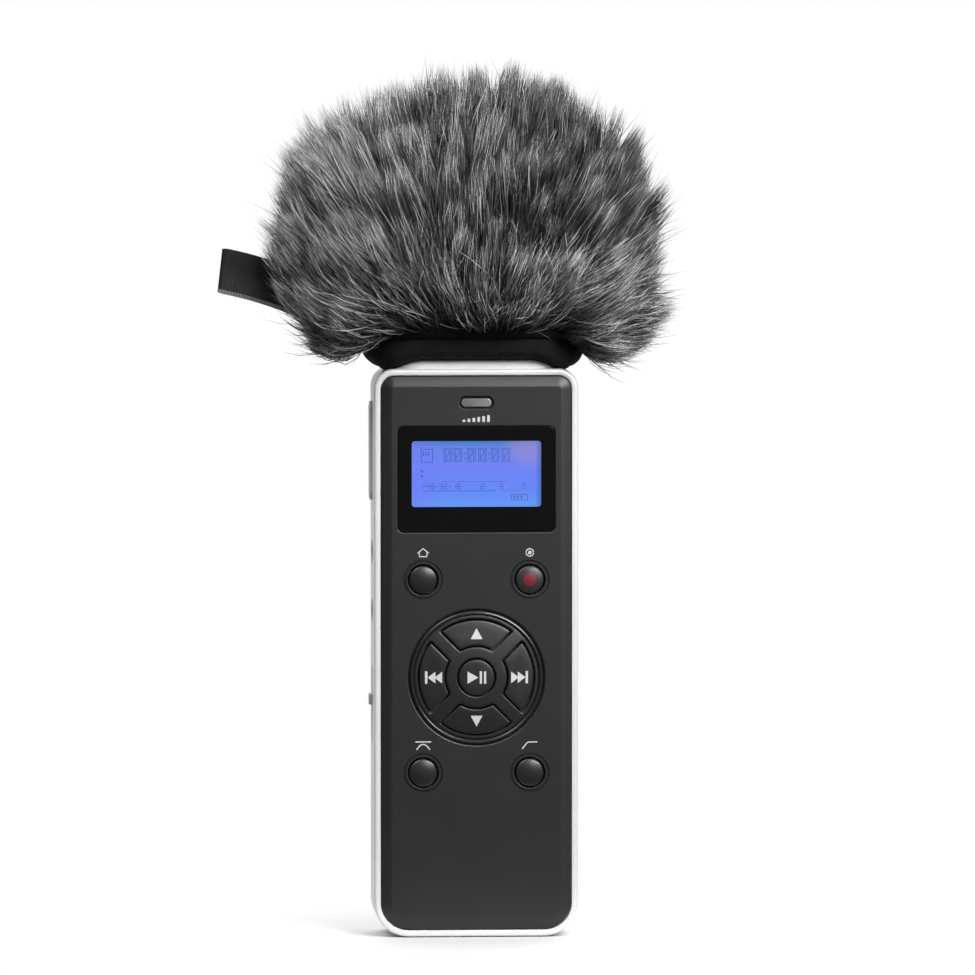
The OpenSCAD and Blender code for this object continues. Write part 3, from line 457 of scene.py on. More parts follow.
def outline(w, h, top_r, foot_r=None, x=0.0, z=0.0, inset=0.0, n=12):
    """A ring of (across, up) points: a rectangle w by h on the point (x, z), with round corners, and
    the whole moved inwards by inset. Each corner is an arc of n steps."""
    foot_r = top_r if foot_r is None else foot_r
    ring = []
    for i, (side, end, r) in enumerate([(1, 1, top_r), (-1, 1, top_r), (-1, -1, foot_r), (1, -1, foot_r)]):
        round_r = max(r - inset, 0.02)
        back_off = inset + round_r
        t = np.linspace(0, TURN / 4, n + 1) + i * TURN / 4
        ring.append(np.stack([x + side * (w / 2 - back_off) + round_r * np.cos(t),
                              z + end * (h / 2 - back_off) + round_r * np.sin(t)], 1))
    return np.concatenate(ring)


def body_ring(inset):
    """The body's outline, moved inwards by an inset."""
    return outline(BODY_W, BODY_H, TOP_R, FOOT_R, z=BODY_H / 2, inset=inset, n=16)


def plate(w, h, r, x=0.0, z=0.0, n=12):
    """A rectangle w by h on (x, z) with corners of radius r, as a function that gives its ring for an
    inset."""
    return lambda inset: outline(w, h, r, x=x, z=z, inset=inset, n=n)


def circle(r, x=0.0, z=0.0, n=96):
    """A ring of n points round (x, z)."""
    t = np.arange(n) * TURN / n
    return np.stack([x + r * np.cos(t), z + r * np.sin(t)], 1)


def facing(ring, depth, axis="y"):
    """Stands a flat ring at a depth along an axis. A ring along Y holds X and Z, along X holds Y and Z,
    and along Z holds X and Y."""
    depth = np.broadcast_to(depth, len(ring))
    order = {"y": (ring[:, 0], depth, ring[:, 1]), "x": (depth, ring[:, 0], ring[:, 1]),
             "z": (ring[:, 0], ring[:, 1], depth)}[axis]
    return np.stack(order, 1)


def sweep(ring_at, profile, axis="y", closed=False):
    """A profile of (inset, depth) pairs carried round the outline that ring_at gives for an inset."""
    return Form().stack([facing(ring_at(inset), depth, axis) for inset, depth in profile], closed)


def turned(profile, x, z, n=96, axis="y", closed=False):
    """A profile of (radius, depth) pairs turned round the line through (x, z), in n steps. A radius
    of 0 is drawn as a thousandth of a millimetre."""
    return Form().stack([facing(circle(max(r, 0.001), x, z, n), depth, axis) for r, depth in profile], closed)


def rounded(r, front, sign=1, steps=6):
    """The (inset, depth) pairs of a quarter round of radius r that ends flat at depth front. The
    part behind it lies at greater depth when sign is 1, and at smaller depth when it is -1."""
    t = np.linspace(0, TURN / 4, steps + 1)
    return list(zip(r * (1 - np.cos(t)), front + sign * r * (1 - np.sin(t))))


def soft(ring, n, reach):
    """Resamples a closed ring to n even steps and averages it over reach steps each way, which
    rounds its corners and leaves its straight parts."""
    loop = np.vstack([ring, ring[:1]])
    run = np.concatenate([[0], np.cumsum(np.linalg.norm(np.diff(loop, axis=0), axis=1))])
    at = np.arange(n) * run[-1] / n
    even = np.stack([np.interp(at, run, loop[:, i]) for i in range(2)], 1)
    return sum(np.roll(even, k, axis=0) for k in range(-reach, reach + 1)) / (2 * reach + 1)


def well(r, x, z, bottom, lip=0.12):
    """A cutter for a round well in the panel, whose mouth is a quarter round of radius lip."""
    t = np.linspace(0, TURN / 4, 6)[1:]
    mouth = list(zip(r + lip * (1 - np.sin(t)), PANEL_Y + lip * (1 - np.cos(t))))
    return turned([(r + lip + 0.02, PANEL_Y - 1), (r + lip, PANEL_Y)] + mouth + [(r, bottom)], x, z)


# ---- the screen and the casing ----

LENS = middle("lcd_lens")
LENS_W, _, LENS_H = high("lcd_lens") - low("lcd_lens")
LENS_RING = plate(LENS_W, LENS_H, 1.2, x=LENS[0], z=LENS[2])
PIPE = middle("peak_light_pipe")
PIPE_W, PIPE_H = 6.8, 1.9

SILVER = silver_paint()
PANEL_BLACK = moulded("panel_black", grey(0.011), grey(0.008), 0.41, grain=7.0, depth=0.02, strength=0.35,
                      patch=0.05)
CAP_BLACK = moulded("cap_black", grey(0.012), grey(0.009), 0.34, grain=8.0, depth=0.01, strength=0.3)
KEY_BLACK = moulded("key_black", grey(0.010), grey(0.007), 0.41, grain=8.0, depth=0.01, strength=0.3)
RING_BLACK = moulded("ring_black", grey(0.014), grey(0.010), 0.22, grain=4.0, depth=0.01, strength=0.2)
LENS_BLACK = moulded("lens_black", grey(0.0045), grey(0.0035), 0.08, spread=0.03, grain=0.5, depth=0.002,
                     strength=0.05, Specular_IOR_Level=0.22)
PRINT_WHITE = moulded("print_white", grey(0.52), grey(0.44), 0.5, grain=5.0, depth=0.01)
KNIT = knitted("cuff_knit", grey(0.0105), grey(0.002), 0.62, Specular_IOR_Level=0.2)
STEEL = brushed("steel", grey(0.62), grey(0.45), 0.3)
DARK_METAL = brushed("dark_metal", grey(0.16), grey(0.09), 0.38)
BRASS = brushed("brass", (0.75, 0.5, 0.2), (0.58, 0.36, 0.13), 0.28)
BLACK_PLASTIC = moulded("black_plastic", grey(0.03), grey(0.018), 0.45)
WHITE_PLASTIC = moulded("white_plastic", grey(0.75), grey(0.66), 0.4)
SILICONE = moulded("silicone", grey(0.22), grey(0.16), 0.6)
KNOB_GREY = moulded("knob_grey", grey(0.46), grey(0.38), 0.42)


def front_frame():
    """The silver frame: a profile with a rounded outer edge carried round the body's outline."""
    flat, ledge, rail = 0.78, 1.3, 4.3
    profile = [(WALL, PANEL_BACK), (WALL, FRONT_Y + 0.14), (WALL - 0.04, FRONT_Y + 0.04),
               (WALL - 0.14, FRONT_Y), (flat, FRONT_Y)]
    profile += rounded(0.68, FRONT_Y, steps=8)[::-1]
    profile += [(0, SEAM_Y - SEAM_CUT), (SEAM_CUT, SEAM_Y), (ledge, SEAM_Y), (ledge, SEAM_Y - 1.2),
                (rail, SEAM_Y - 1.6), (rail, PANEL_BACK)]
    form = sweep(body_ring, profile, closed=True)
    piece("front_frame_rim", form, "recorder", SILVER, ["front_frame"])


def front_panel():
    """The black panel: its shoulder falls from the face to the edge as a power of the distance, and
    wells, grooves and windows with rounded lips are cut into it."""
    edge, drop, reach = PANEL_INSET, 0.8, 2.4
    t = np.linspace(0.02, 1, 18)
    profile = [(edge, PANEL_BACK), (edge, PANEL_Y + drop + 0.12), (edge + 0.05, PANEL_Y + drop - 0.02)]
    profile += list(zip(edge + reach * t, PANEL_Y + (drop - 0.06) * (1 - t) ** 1.35))
    through = [(0, PANEL_Y), (0, PANEL_BACK + 1)]
    lens_seat = [(-0.36, PANEL_Y - 1), (-0.34, PANEL_Y), (-0.22, PANEL_Y + 0.03), (-0.14, PANEL_Y + 0.1),
                 (-0.1, PANEL_Y + 0.22), (-0.1, high("lcd_lens")[1] + 0.1)]
    light_seat = [(-0.22, PANEL_Y - 1), (-0.2, PANEL_Y), (-0.07, PANEL_Y + 0.04), (0, PANEL_Y + 0.16),
                  (0, PANEL_Y + 0.95)]
    groove = [(3.93, PANEL_Y - 1), (3.93, PANEL_Y), (3.98, PANEL_Y + 0.3), (4.22, PANEL_Y + 0.3),
              (4.42, PANEL_Y), (4.42, PANEL_Y - 1)]
    cuts = [sweep(LENS_RING, lens_seat),
            sweep(plate(SCREEN_W + 1.6, SCREEN_H + 1.6, 0.6, z=SCREEN[2]), through),
            sweep(plate(PIPE_W + 1, PIPE_H + 1, PIPE_H / 2 + 0.5, z=PIPE[2]), light_seat),
            sweep(plate(PIPE_W + 0.2, PIPE_H + 0.2, PIPE_H / 2 + 0.1, z=PIPE[2]), through)]
    for name in BUTTONS:
        x, _, z = middle(name)
        cuts.append(well(CAP_R + 0.4, x, z, PANEL_BACK + 1))
        cuts.append(turned(groove, x, z, closed=True))
    cuts.append(well(PAD_R + 0.2, PAD_X, PAD_Z, PANEL_Y + 0.95, lip=0.42))
    cuts.append(well(13.8, PAD_X, PAD_Z, PANEL_BACK + 1, lip=0.01))
    form = sweep(body_ring, profile)
    piece("front_panel_face", form, "recorder", PANEL_BLACK, ["front_panel"], cuts)


def display():
    """The lens: a gloss black slab with a clear window, and the lit glass and its segments behind."""
    front, back = low("lcd_lens")[1], high("lcd_lens")[1]
    window = plate(SCREEN_W, SCREEN_H, 0.7, z=SCREEN[2])
    form = sweep(LENS_RING, [(0, back)] + rounded(0.12, front, steps=4))
    hole = sweep(window, [(0, front - 1), (0, back + 1)])
    piece("display_lens", form, "recorder", LENS_BLACK, ["lcd_lens"], [hole])
    pane = sweep(window, [(0.01, back), (0.01, front + 0.01)])
    piece("display_window", pane, "recorder", window_glass())
    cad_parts["lcd_module"].data.materials.clear()
    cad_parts["lcd_module"].data.materials.append(display_glow())
    piece("display_segments", segments(), "recorder", display_ink(), weigh=False)


STROKES = {"0": "abcdef", "1": "bc", "2": "abged", "3": "abgcd", "4": "fgbc", "6": "afgcde",
           "8": "abcdefg", "-": "g"}
BARS = {"a": (0, 1, 1, 1), "b": (1, 1, 1, 0.5), "c": (1, 0.5, 1, 0), "d": (0, 0, 1, 0), "e": (0, 0, 0, 0.5),
        "f": (0, 0.5, 0, 1), "g": (0, 0.5, 1, 0.5)}


def segments():
    """The counter, the meter's scale and two small signs, as thin bars just in front of the glass.
    Places are in millimetres to the right of the glass's top left corner and down from it."""
    front = low("lcd_module")[1] - 0.02
    left, top = -SCREEN_W / 2, SCREEN[2] + SCREEN_H / 2
    form = Form()

    def bar(x0, down0, x1, down1, w):
        """A bar of width w from one point to another, half its width longer at each end."""
        a, b = np.array([left + x0, top - down0]), np.array([left + x1, top - down1])
        along = (b - a) / max(np.linalg.norm(b - a), 1e-6)
        side = np.array([-along[1], along[0]]) * w / 2
        ends = np.array([a - along * w / 2 - side, b + along * w / 2 - side,
                         b + along * w / 2 + side, a - along * w / 2 + side])
        form.stack([facing(ends, front + 0.012), facing(ends, front)])

    def digits(text, x, down, w, h, line, gap):
        """A row of figures w by h in seven strokes, with their feet at down."""
        for sign in text:
            for key in STROKES[sign]:
                x0, z0, x1, z1 = BARS[key]
                bar(x + x0 * w, down - z0 * h, x + x1 * w, down - z1 * h, line)
            x += w + gap

    for x in (7.35, 9.6, 12.65, 15.15, 18.0, 20.5):
        for inset in (0.0, 0.36):
            digits("0", x + inset, 4.75 - inset, 1.75 - 2 * inset, 2.95 - 2 * inset, 0.12, 0)
        bar(x + 0.5, 4.0, x + 1.25, 2.55, 0.16)
    for x in (12.05, 17.45):
        for down in (3.0, 4.1):
            bar(x, down, x + 0.08, down, 0.22)
    for x, down, w, h in ((2.25, 1.95, 2.55, 2.95), (22.6, 12.2, 3.6, 1.25)):
        for a, b, c, d in ((0, 0, w, 0), (w, 0, w, h), (w, h, 0, h), (0, h, 0, 0)):
            bar(x + a, down + b, x + c, down + d, 0.13)
    for i in range(3):
        bar(2.75 + 0.6 * i, 2.6, 2.75 + 0.6 * i, 3.4, 0.2)
        bar(23.2 + 0.8 * i, 12.6, 23.2 + 0.8 * i, 13.05, 0.34)
    for down in (6.5, 7.6):
        bar(2.3, down, 2.3, down + 0.5, 0.16)
        bar(2.3, down + 0.5, 2.9, down + 0.5, 0.16)
    for text, x in (("-48-32-16", 2.4), ("12", 14.9), ("6", 20.1), ("0", 25.1)):
        digits(text, x, 10.9, 0.62, 1.15, 0.11, 0.38)
    for x0, x1, down, w in ((2.7, 18.8, 11.35, 0.12), (20.0, 24.4, 11.35, 0.07), (6.8, 21.6, 9.25, 0.07)):
        bar(x0, down, x1, down, w)
    return form


def peak_light():
    """The frosted window of the peak light: a slot-shaped slab with a rounded front edge."""
    ring = plate(PIPE_W, PIPE_H, PIPE_H / 2, z=PIPE[2], n=16)
    form = sweep(ring, [(0, PIPE[1])] + rounded(0.22, PANEL_Y + 0.15, steps=5))
    paint = Paint("frosted_light", Roughness=0.3, Coat_Weight=0.5)
    x = paint.place.parts()[0]
    cloud = paint.noise(0.9, 3)
    paint.feed("Base Color", (x.step(-3.0, 3.2) * 0.6 + cloud * 0.4).blend(grey(0.08), grey(0.2)))
    paint.grain(paint.noise(6.0, 2), 0.3, 0.01)
    piece("peak_light_window", form, "recorder", paint.material, ["peak_light_pipe"])


def round_buttons():
    """The domed caps: a curve turned round each button's axis. The crown falls away as a power of the
    distance, and a quarter of an ellipse turns it down into the side."""
    record = record_cap()
    edge, fall = 0.18, 0.46
    for name in BUTTONS:
        x, _, z = middle(name)
        r = np.linspace(0, CAP_R - edge, 12)
        profile = list(zip(r, low(name)[1] + fall * (r / (CAP_R - edge)) ** 2.1))
        edge_y = profile[-1][1]
        t = np.linspace(0, TURN / 4, 6)[1:]
        profile += list(zip(CAP_R - edge + edge * np.sin(t), edge_y + 0.05 + 0.2 * (1 - np.cos(t))))
        profile += [(CAP_R, PANEL_BACK)]
        piece(name.replace("button", "cap"), turned(profile, x, z), name,
              record if name == "record_button" else CAP_BLACK, [name])


def pad_rise(x, z):
    """The pad's crown: the depth of its face falls away with the square of the distance."""
    crown, fall, reach = 0.42, 1.07, 14.0
    return PANEL_Y - crown + fall * ((x - PAD_X) ** 2 + (z - PAD_Z) ** 2) / reach ** 2


def key_ring(inset, turn):
    """The outline of an outer key that points up, cut off along the two diagonals and turned to its
    place. The corners are softened, and more so on the key's edge and beyond it than within."""
    side, outer, inner = KEY_SIDE + inset, KEY_OUT - inset, KEY_IN + inset
    a, b = TURN / 8 + np.arcsin(side / outer), TURN / 8 + np.arcsin(side / inner)
    out = np.linspace(a, TURN / 2 - a, 60)
    back = np.linspace(TURN / 2 - b, b, 40)
    ring = np.vstack([outer * np.stack([np.cos(out), np.sin(out)], 1),
                      inner * np.stack([np.cos(back), np.sin(back)], 1)])
    ring = soft(ring, 160, 2 if inset <= 0 else 1)
    c, s = math.cos(turn), math.sin(turn)
    return np.stack([PAD_X + c * ring[:, 0] - s * ring[:, 1], PAD_Z + s * ring[:, 0] + c * ring[:, 1]], 1)


def crowned(ring, lift):
    """A ring on the pad's crown, lifted towards the front by lift."""
    return facing(ring, pad_rise(ring[:, 0], ring[:, 1]) - lift)


def pad():
    """The control pad: a trim ring, a crowned plate with openings, and five keys with soft edges."""
    back = high("pad_plate")[1]
    section = [(14.15, back), (14.15, PANEL_Y + 0.4), (14.2, PANEL_Y + 0.22), (14.32, PANEL_Y + 0.08),
               (14.5, PANEL_Y), (14.68, PANEL_Y + 0.03), (14.85, PANEL_Y + 0.14), (15.0, PANEL_Y + 0.3),
               (PAD_R, PANEL_Y + 0.5), (PAD_R, back)]
    ring = turned(section, PAD_X, PAD_Z, 160, closed=True)
    piece("pad_trim_ring", ring, "recorder", RING_BLACK, ["pad_ring"])
    rings = [crowned(circle(r, PAD_X, PAD_Z, 160), 0) for r in np.linspace(0.01, 13.9, 24)]
    brim = rings[-1][0, 1]
    for r, y in ((14.02, brim + 0.05), (14.08, brim + 0.15), (14.08, back)):
        rings.append(facing(circle(r, PAD_X, PAD_Z, 160), y))
    turns = [0, TURN / 2, TURN / 4, -TURN / 4]
    cuts = []
    for turn in turns:
        loops = [facing(key_ring(-0.62, turn), PANEL_Y - 2)]
        for inset, lift in ((-0.62, 0.002), (-0.47, -0.04), (-0.38, -0.13), (-0.35, -0.26)):
            loops.append(crowned(key_ring(inset, turn), lift))
        loops.append(facing(key_ring(-0.35, turn), back + 1))
        cuts.append(Form().stack(loops))
    eye = [(4.62, PANEL_Y - 2), (4.62, PANEL_Y - 0.22), (4.47, PANEL_Y - 0.18), (4.38, PANEL_Y - 0.09),
           (4.35, PANEL_Y + 0.05), (4.35, back + 1)]
    cuts.append(turned(eye, PAD_X, PAD_Z))
    piece("pad_face", Form().stack(rings), "recorder", KEY_BLACK, ["pad_plate"], cuts)
    for name, turn in zip(KEYS, turns):
        rings = [facing(key_ring(0, turn), PANEL_BACK)]
        for inset, lift in ((0, -0.05), (0.02, 0.04), (0.07, 0.13), (0.15, 0.19), (0.27, 0.225), (0.5, 0.24),
                            (1.2, 0.25), (2.0, 0.25)):
            rings.append(crowned(key_ring(inset, turn), lift))
        piece(name + "_top", Form().stack(rings), name, KEY_BLACK, [name])
    profile = [(4.0, PANEL_BACK), (4.0, PANEL_Y - 0.2), (3.97, PANEL_Y - 0.31), (3.9, PANEL_Y - 0.39),
               (3.78, PANEL_Y - 0.44), (3.6, PANEL_Y - 0.47), (3.0, PANEL_Y - 0.52), (1.5, PANEL_Y - 0.56)]
    piece("play_key_top", turned(profile, PAD_X, PAD_Z), "play_key", KEY_BLACK, ["play_key"])


def signs():
    """The printed signs: flat shapes a little proud of what they are printed on."""
    x, z = PAD_X, PAD_Z

    def printed(name, shapes, body, lift=None):
        """Shapes as one thin print: lift in front of the pad's crown, or just proud of the panel."""
        form = Form()
        for shape in shapes:
            ring = np.asarray(shape, float)
            front = facing(ring, PANEL_Y - 0.015) if lift is None else crowned(ring, lift)
            form.stack([front + np.array([0, 0.03, 0]), front])
        piece(name, form, body, PRINT_WHITE, weigh=False)

    def right(cx, w, h):
        """A triangle that points right, level with the pad's middle."""
        return [(cx - w / 2, z - h / 2), (cx + w / 2, z), (cx - w / 2, z + h / 2)]

    def block(x0, x1, z0, z1):
        """An upright rectangle."""
        return [(x0, z0), (x1, z0), (x1, z1), (x0, z1)]

    def bar(x0, x1):
        """A tall bar of a sign on the pad."""
        return block(x + x0, x + x1, z - 1.4, z + 1.4)

    def over(name, line, w=0.26):
        """A strip of width w that follows a line given from a button's middle: its two long edges are
        set off from the line at right angles."""
        line = np.asarray(line, float) + middle(name)[[0, 2]]
        along = np.gradient(line, axis=0)
        along /= np.linalg.norm(along, axis=1)[:, None]
        side = np.stack([-along[:, 1], along[:, 0]], 1) * w / 2
        return np.vstack([line + side, (line - side)[::-1]])

    on_keys, on_play = 0.27, 0.175
    key_mid = (KEY_IN + KEY_OUT) / 2 - 0.3
    up = [(x - 1.35, z + key_mid - 1.1), (x + 1.35, z + key_mid - 1.1), (x, z + key_mid + 1.35)]
    printed("up_sign", [up], "up_key", on_keys)
    printed("down_sign", [[(px, 2 * z - pz) for px, pz in up][::-1]], "down_key", on_keys)
    skip = [right(x + 8.65, 1.75, 2.6), right(x + 10.15, 1.75, 2.6), bar(11.05, 11.6)]
    printed("next_sign", skip, "next_key", on_keys)
    back = [[(2 * x - px, pz) for px, pz in shape][::-1] for shape in skip]
    printed("previous_sign", back, "previous_key", on_keys)
    play = [right(x - 0.85, 2.4, 2.8), bar(0.7, 1.2), bar(1.65, 2.15)]
    printed("play_sign", play, "play_key", on_play)

    foot = PIPE[2] - 4.3
    bars = [block(-3.1 + 1.1 * i, -2.5 + 1.1 * i, foot, foot + 0.5 + 0.2 * i) for i in range(6)]
    house = [over("home_button", [(-1.25, 6.0), (0, 7.05), (1.25, 6.0)]),
             over("home_button", [(-0.85, 6.15), (-0.85, 5.25), (0.85, 5.25), (0.85, 6.15)])]
    centre = middle("record_button")[[0, 2]] + [0, 6.1]
    spot, outer = circle(0.42, *centre, 48), circle(0.95, *centre, 48)
    halves = [np.vstack([arc, (arc[::-1] - centre) * 0.76 + centre]) for arc in (outer[:25], outer[23:])]
    hump = np.linspace(-1, 1, 13)
    knee = [over("limiter_button", [(-1.8, 7.0), (1.8, 7.0)]),
            over("limiter_button", np.stack([1.5 * hump, 5.2 + 1.25 * (1 - hump ** 2)], 1))]
    slope = [over("low_cut_button", [(-1.7, 5.3), (-0.7, 6.6), (-0.35, 6.85), (1.7, 6.9)])]
    printed("panel_signs", bars + house + [spot] + halves + knee + slope, "recorder")


# ---- the rear shell and what sits in it ----


def shell(inset, y0, y1, r):
    """The (inset, depth) pairs of a wall that runs back from y0 and turns in at y1 by a round r."""
    return [(inset, y0)] + [(inset + a, b) for a, b in rounded(r, y1, -1, 10)]


def shell_form():
    """The rear half: an outer and an inner wall round the body's outline, joined at the seam."""
    outer = shell(0, SEAM_Y + SEAM_CUT, BACK_Y, REAR_ROUND)
    inner = shell(WALL, SEAM_Y, BACK_Y - WALL, REAR_ROUND - WALL)
    return sweep(body_ring, inner[::-1] + [(SEAM_CUT, SEAM_Y)] + outer)


def side_rod(w, h, r, z, x0, x1, y=PORT_Y):
    """A rod along X from x0 to x1, whose section is w deep and h high with corners of radius r."""
    return sweep(plate(w, h, r, x=y, z=z), [(0, x0), (0, x1)], "x")


def rear_shell():
    """The silver rear shell, with openings for the controls, ports, speaker, screws and cover."""
    out, gap = -BODY_W / 2 - 1, 0.3
    inside = out + 3.2
    usb, bush, speaker = middle("usb_port"), middle("tripod_bush"), middle("speaker")
    rocker_z = middle("volume_rocker")[2]
    cuts = [side_rod(ROCKER_W + 0.5, ROCKER_H + 0.6, ROCKER_W / 2 + 0.25, rocker_z, out, inside)]
    for jack in ("headphone_jack", "line_jack"):
        cuts.append(turned([(3.0, out), (3.0, inside)], PORT_Y, middle(jack)[2], 64, "x"))
    cuts.append(side_rod(4.4, 19, 2.2, TRACK_Z, out, out + 1.45))
    cuts.append(side_rod(3.4, 7.7, 0.2, middle("slide_knob")[2], out, inside))
    cuts.append(side_rod(DOOR_W + gap, DOOR_H + gap, DOOR_R, middle("card_door")[2], out, out + 2.0))
    cuts.append(side_rod(2.9, 7.8, 0.3, usb[2], -inside, -out, usb[1]))
    slot = [(0, BACK_Y - 3), (0, BACK_Y - 0.12), (-0.1, BACK_Y), (-0.1, BACK_Y + 1)]
    for i in range(-2, 3):
        cuts.append(sweep(plate(11, 1, 0.5, z=speaker[2] + i * 2.2), slot))
    cuts.append(turned([(4.6, BACK_Y - 3), (4.6, BACK_Y + 1)], bush[0], bush[2], 48))
    for side in (-1, 1):
        for z, far in ((11, 19.45), (123.4, 18.2)):
            cuts.append(turned([(1.95, BACK_Y - 4), (1.95, BACK_Y + 1)], side * far, z, 48))
    top, past = high("battery_cover")[2] + gap / 2, 5
    cuts.append(sweep(plate(2 * COVER_HALF + gap, top + past, 0.3, z=(top - past) / 2),
                      [(0, BACK_Y - WALL - 0.05), (0, BACK_Y + 1)]))
    piece("rear_shell_skin", shell_form(), "recorder", SILVER, ["rear_shell"], cuts)


def battery_cover():
    """The sliding cover: the part of the shell over the cells, with a row of grip grooves."""
    top, foot = high("battery_cover")[2], 0.2
    keep = sweep(plate(2 * COVER_HALF, top - foot, 0.25, z=(top + foot) / 2),
                 [(0, BACK_Y - WALL), (0, BACK_Y + 1)])
    groove = [(0.05, BACK_Y - 0.35), (0, BACK_Y - 0.15), (-0.12, BACK_Y), (-0.12, BACK_Y + 1)]
    cuts = [sweep(plate(12, 0.7, 0.35, z=top - 6 - 1.6 * i), groove) for i in range(5)]
    piece("battery_cover_skin", shell_form(), "battery_cover", SILVER, ["battery_cover"],
          cuts, [keep])


def side_controls():
    """The volume rocker, the slide switch's knob and the card door, each from a little inside the
    shell out to its rounded face."""
    out = low("volume_rocker")[0]
    ring = plate(ROCKER_W, ROCKER_H, ROCKER_W / 2, x=PORT_Y, z=middle("volume_rocker")[2], n=16)
    profile = [(0, -20.0)] + rounded(0.45, out + 0.12, steps=7) + [(1.2, out + 0.02), (1.8, out)]
    form = sweep(ring, profile, "x")
    piece("volume_rocker_cap", form, "volume_rocker", SILVER, ["volume_rocker"])
    out, knob_z = low("slide_knob")[0], middle("slide_knob")[2]
    form = sweep(plate(3.2, 2.5, 0.35, x=PORT_Y, z=knob_z), [(0, -21.0)] + rounded(0.18, out, steps=4), "x")
    cuts = []
    for z in knob_z + np.array([-0.72, 0, 0.72]):
        cuts.append(Form().stack([facing(np.array([(-3, z - w), (3, z - w), (3, z + w), (-3, z + w)]), x, "x")
                                  for w, x in ((0.22, out - 0.3), (0.16, out), (0.08, out + 0.22))]))
    piece("slide_knob_cap", form, "slide_knob", KNOB_GREY, ["slide_knob"], cuts)
    door_z = middle("card_door")[2]
    ring = plate(DOOR_W, DOOR_H, DOOR_R, x=PORT_Y, z=door_z)
    form = sweep(ring, [(0, -22.1)] + rounded(0.2, -BODY_W / 2, steps=4), "x")
    nick = side_rod(0.8, 5.0, 0.4, door_z, -24, -22.65, -2.0)
    piece("card_door_skin", form, "card_door", SILVER, ["card_door"], [nick])


# ---- the windshield ----

HEAD_Y = middle("windshield_cuff")[1]
RIM_Z = high("windshield_cuff")[2]
BASE_W, BASE_D = (high("mic_base") - low("mic_base"))[:2]
CUFF_X = -1.1
HEM_Z = 130.8
SKIN_X = -1.2
SKIN_TOP = 176.6
SKIN = (32.5, 22.0, 24.5, 11.5, SKIN_TOP)
WAIST_Z = RIM_Z + 21
COMB_X, COMB_Z = 5.0, 114.0
LABEL_X, LABEL_Z = -42.0, 147.0
LABEL_TILT = math.radians(10.8)


def unit(v):
    """Vectors scaled to length 1."""
    return v / np.maximum(np.linalg.norm(v, axis=-1, keepdims=True), 1e-9)


def power_ring(a, b, n):
    """A superellipse ring of half axes a and b: a times the cosine and b times the sine, each to the
    power 2 / n with its sign kept."""
    t = np.arange(120) * TURN / 120
    c, s = np.cos(t), np.sin(t)
    x, y = np.sign(c) * np.abs(c) ** (2 / n), np.sign(s) * np.abs(s) ** (2 / n)
    return np.stack([SKIN_X + a * x, HEAD_Y + b * y], 1)


def dome(a, b, rim_a, rim_b, top, low_z):
    """The rings of a dome. Below the waist they swell out of the rim as a quarter ellipse, and above
    it they close as a cosine to the power 0.8, and sooner from front to back than across."""
    rings = []
    for t in np.linspace(-TURN / 4, 0, 12, endpoint=False):
        k = math.cos(t)
        ring = power_ring(rim_a + (a - rim_a) * k, rim_b + (b - rim_b) * k, 4.2 - 1.9 * k)
        rings.append(facing(ring, low_z + (WAIST_Z - low_z) * (1 + math.sin(t)), "z"))
    for t in np.linspace(0, TURN / 4, 22):
        k = max(math.cos(t), 1e-4) ** 0.8
        ring = power_ring(a * k, b * k ** 1.6, 2.3)
        rings.append(facing(ring, WAIST_Z + (top - WAIST_Z) * math.sin(t), "z"))
    return np.array(rings)


def spread_over(rings, count, rng):
    """Points spread evenly by area over a grid of rings, with the surface's outward normals."""
    a, b = rings[:-1], rings[1:]
    c, d = np.roll(a, -1, axis=1), np.roll(b, -1, axis=1)
    size = np.linalg.norm(np.cross(d - a, b - c), axis=2).ravel() / 2
    pick = rng.choice(size.size, count, p=size / size.sum())
    u, v = rng.random((2, count, 1))
    a, c, b, d = [g.reshape(-1, 3)[pick] for g in (a, c, b, d)]
    point = (a * (1 - u) + c * u) * (1 - v) + (b * (1 - u) + d * u) * v
    normal = np.cross(c - a + d - b, b - a + d - c)
    return point, unit(normal)


def waves(point, seed, scale=0.09):
    """A smooth field of directions: sums of sine waves that cross the point at seeded angles."""
    rng = np.random.default_rng(seed)
    out = np.zeros_like(point)
    for _ in range(5):
        k = rng.normal(size=(3, 3)) * scale * rng.uniform(0.6, 1.8)
        out += np.sin(point @ k + rng.uniform(0, TURN, 3)) * 0.45
    return out


def smooth(value, start, end):
    """0 at start, 1 at end, and a cubic between them."""
    t = np.clip((value - start) / (end - start), 0, 1)
    return t * t * (3 - 2 * t)


def grow(root, normal, length, lean, drift, steps):
    """Strands as quadratic curves: the point a share s of the way along one lies its length times
    s - s * s / 2 along its first direction and s * s / 2 along its last. It sets off between its
    normal and the way the fur is combed, which is away from a point low inside the cuff, and turns
    towards the comb as it goes. Beside the cuff it sets off outwards and down first. Returns points
    by strand and by step."""
    comb = root - [COMB_X, HEAD_Y, COMB_Z]
    comb[:, 1] *= 0.3
    comb = unit(comb)
    left = root[:, 0] < 0
    low_down = smooth(root[:, 2], WAIST_Z - 4, RIM_Z + 1) * smooth(np.abs(root[:, 0]), 14, 24)
    hang = np.stack([np.where(left, -0.4, -0.12), root[:, 1] * 0, np.where(left, -1.5, -0.9)], 1)
    hang *= low_down[:, None]
    start = unit(normal * lean[:, None] + comb * (1 - 0.5 * low_down)[:, None] + drift * 0.6 + hang)
    end = unit(normal * (lean * 0.3)[:, None] + comb + drift * 1.2 + [0, 0, 0.12])
    s = np.linspace(0, 1, steps)[None, :, None]
    way = start[:, None] * (s - 0.5 * s * s) + end[:, None] * (0.5 * s * s)
    return root[:, None] + length[:, None, None] * way


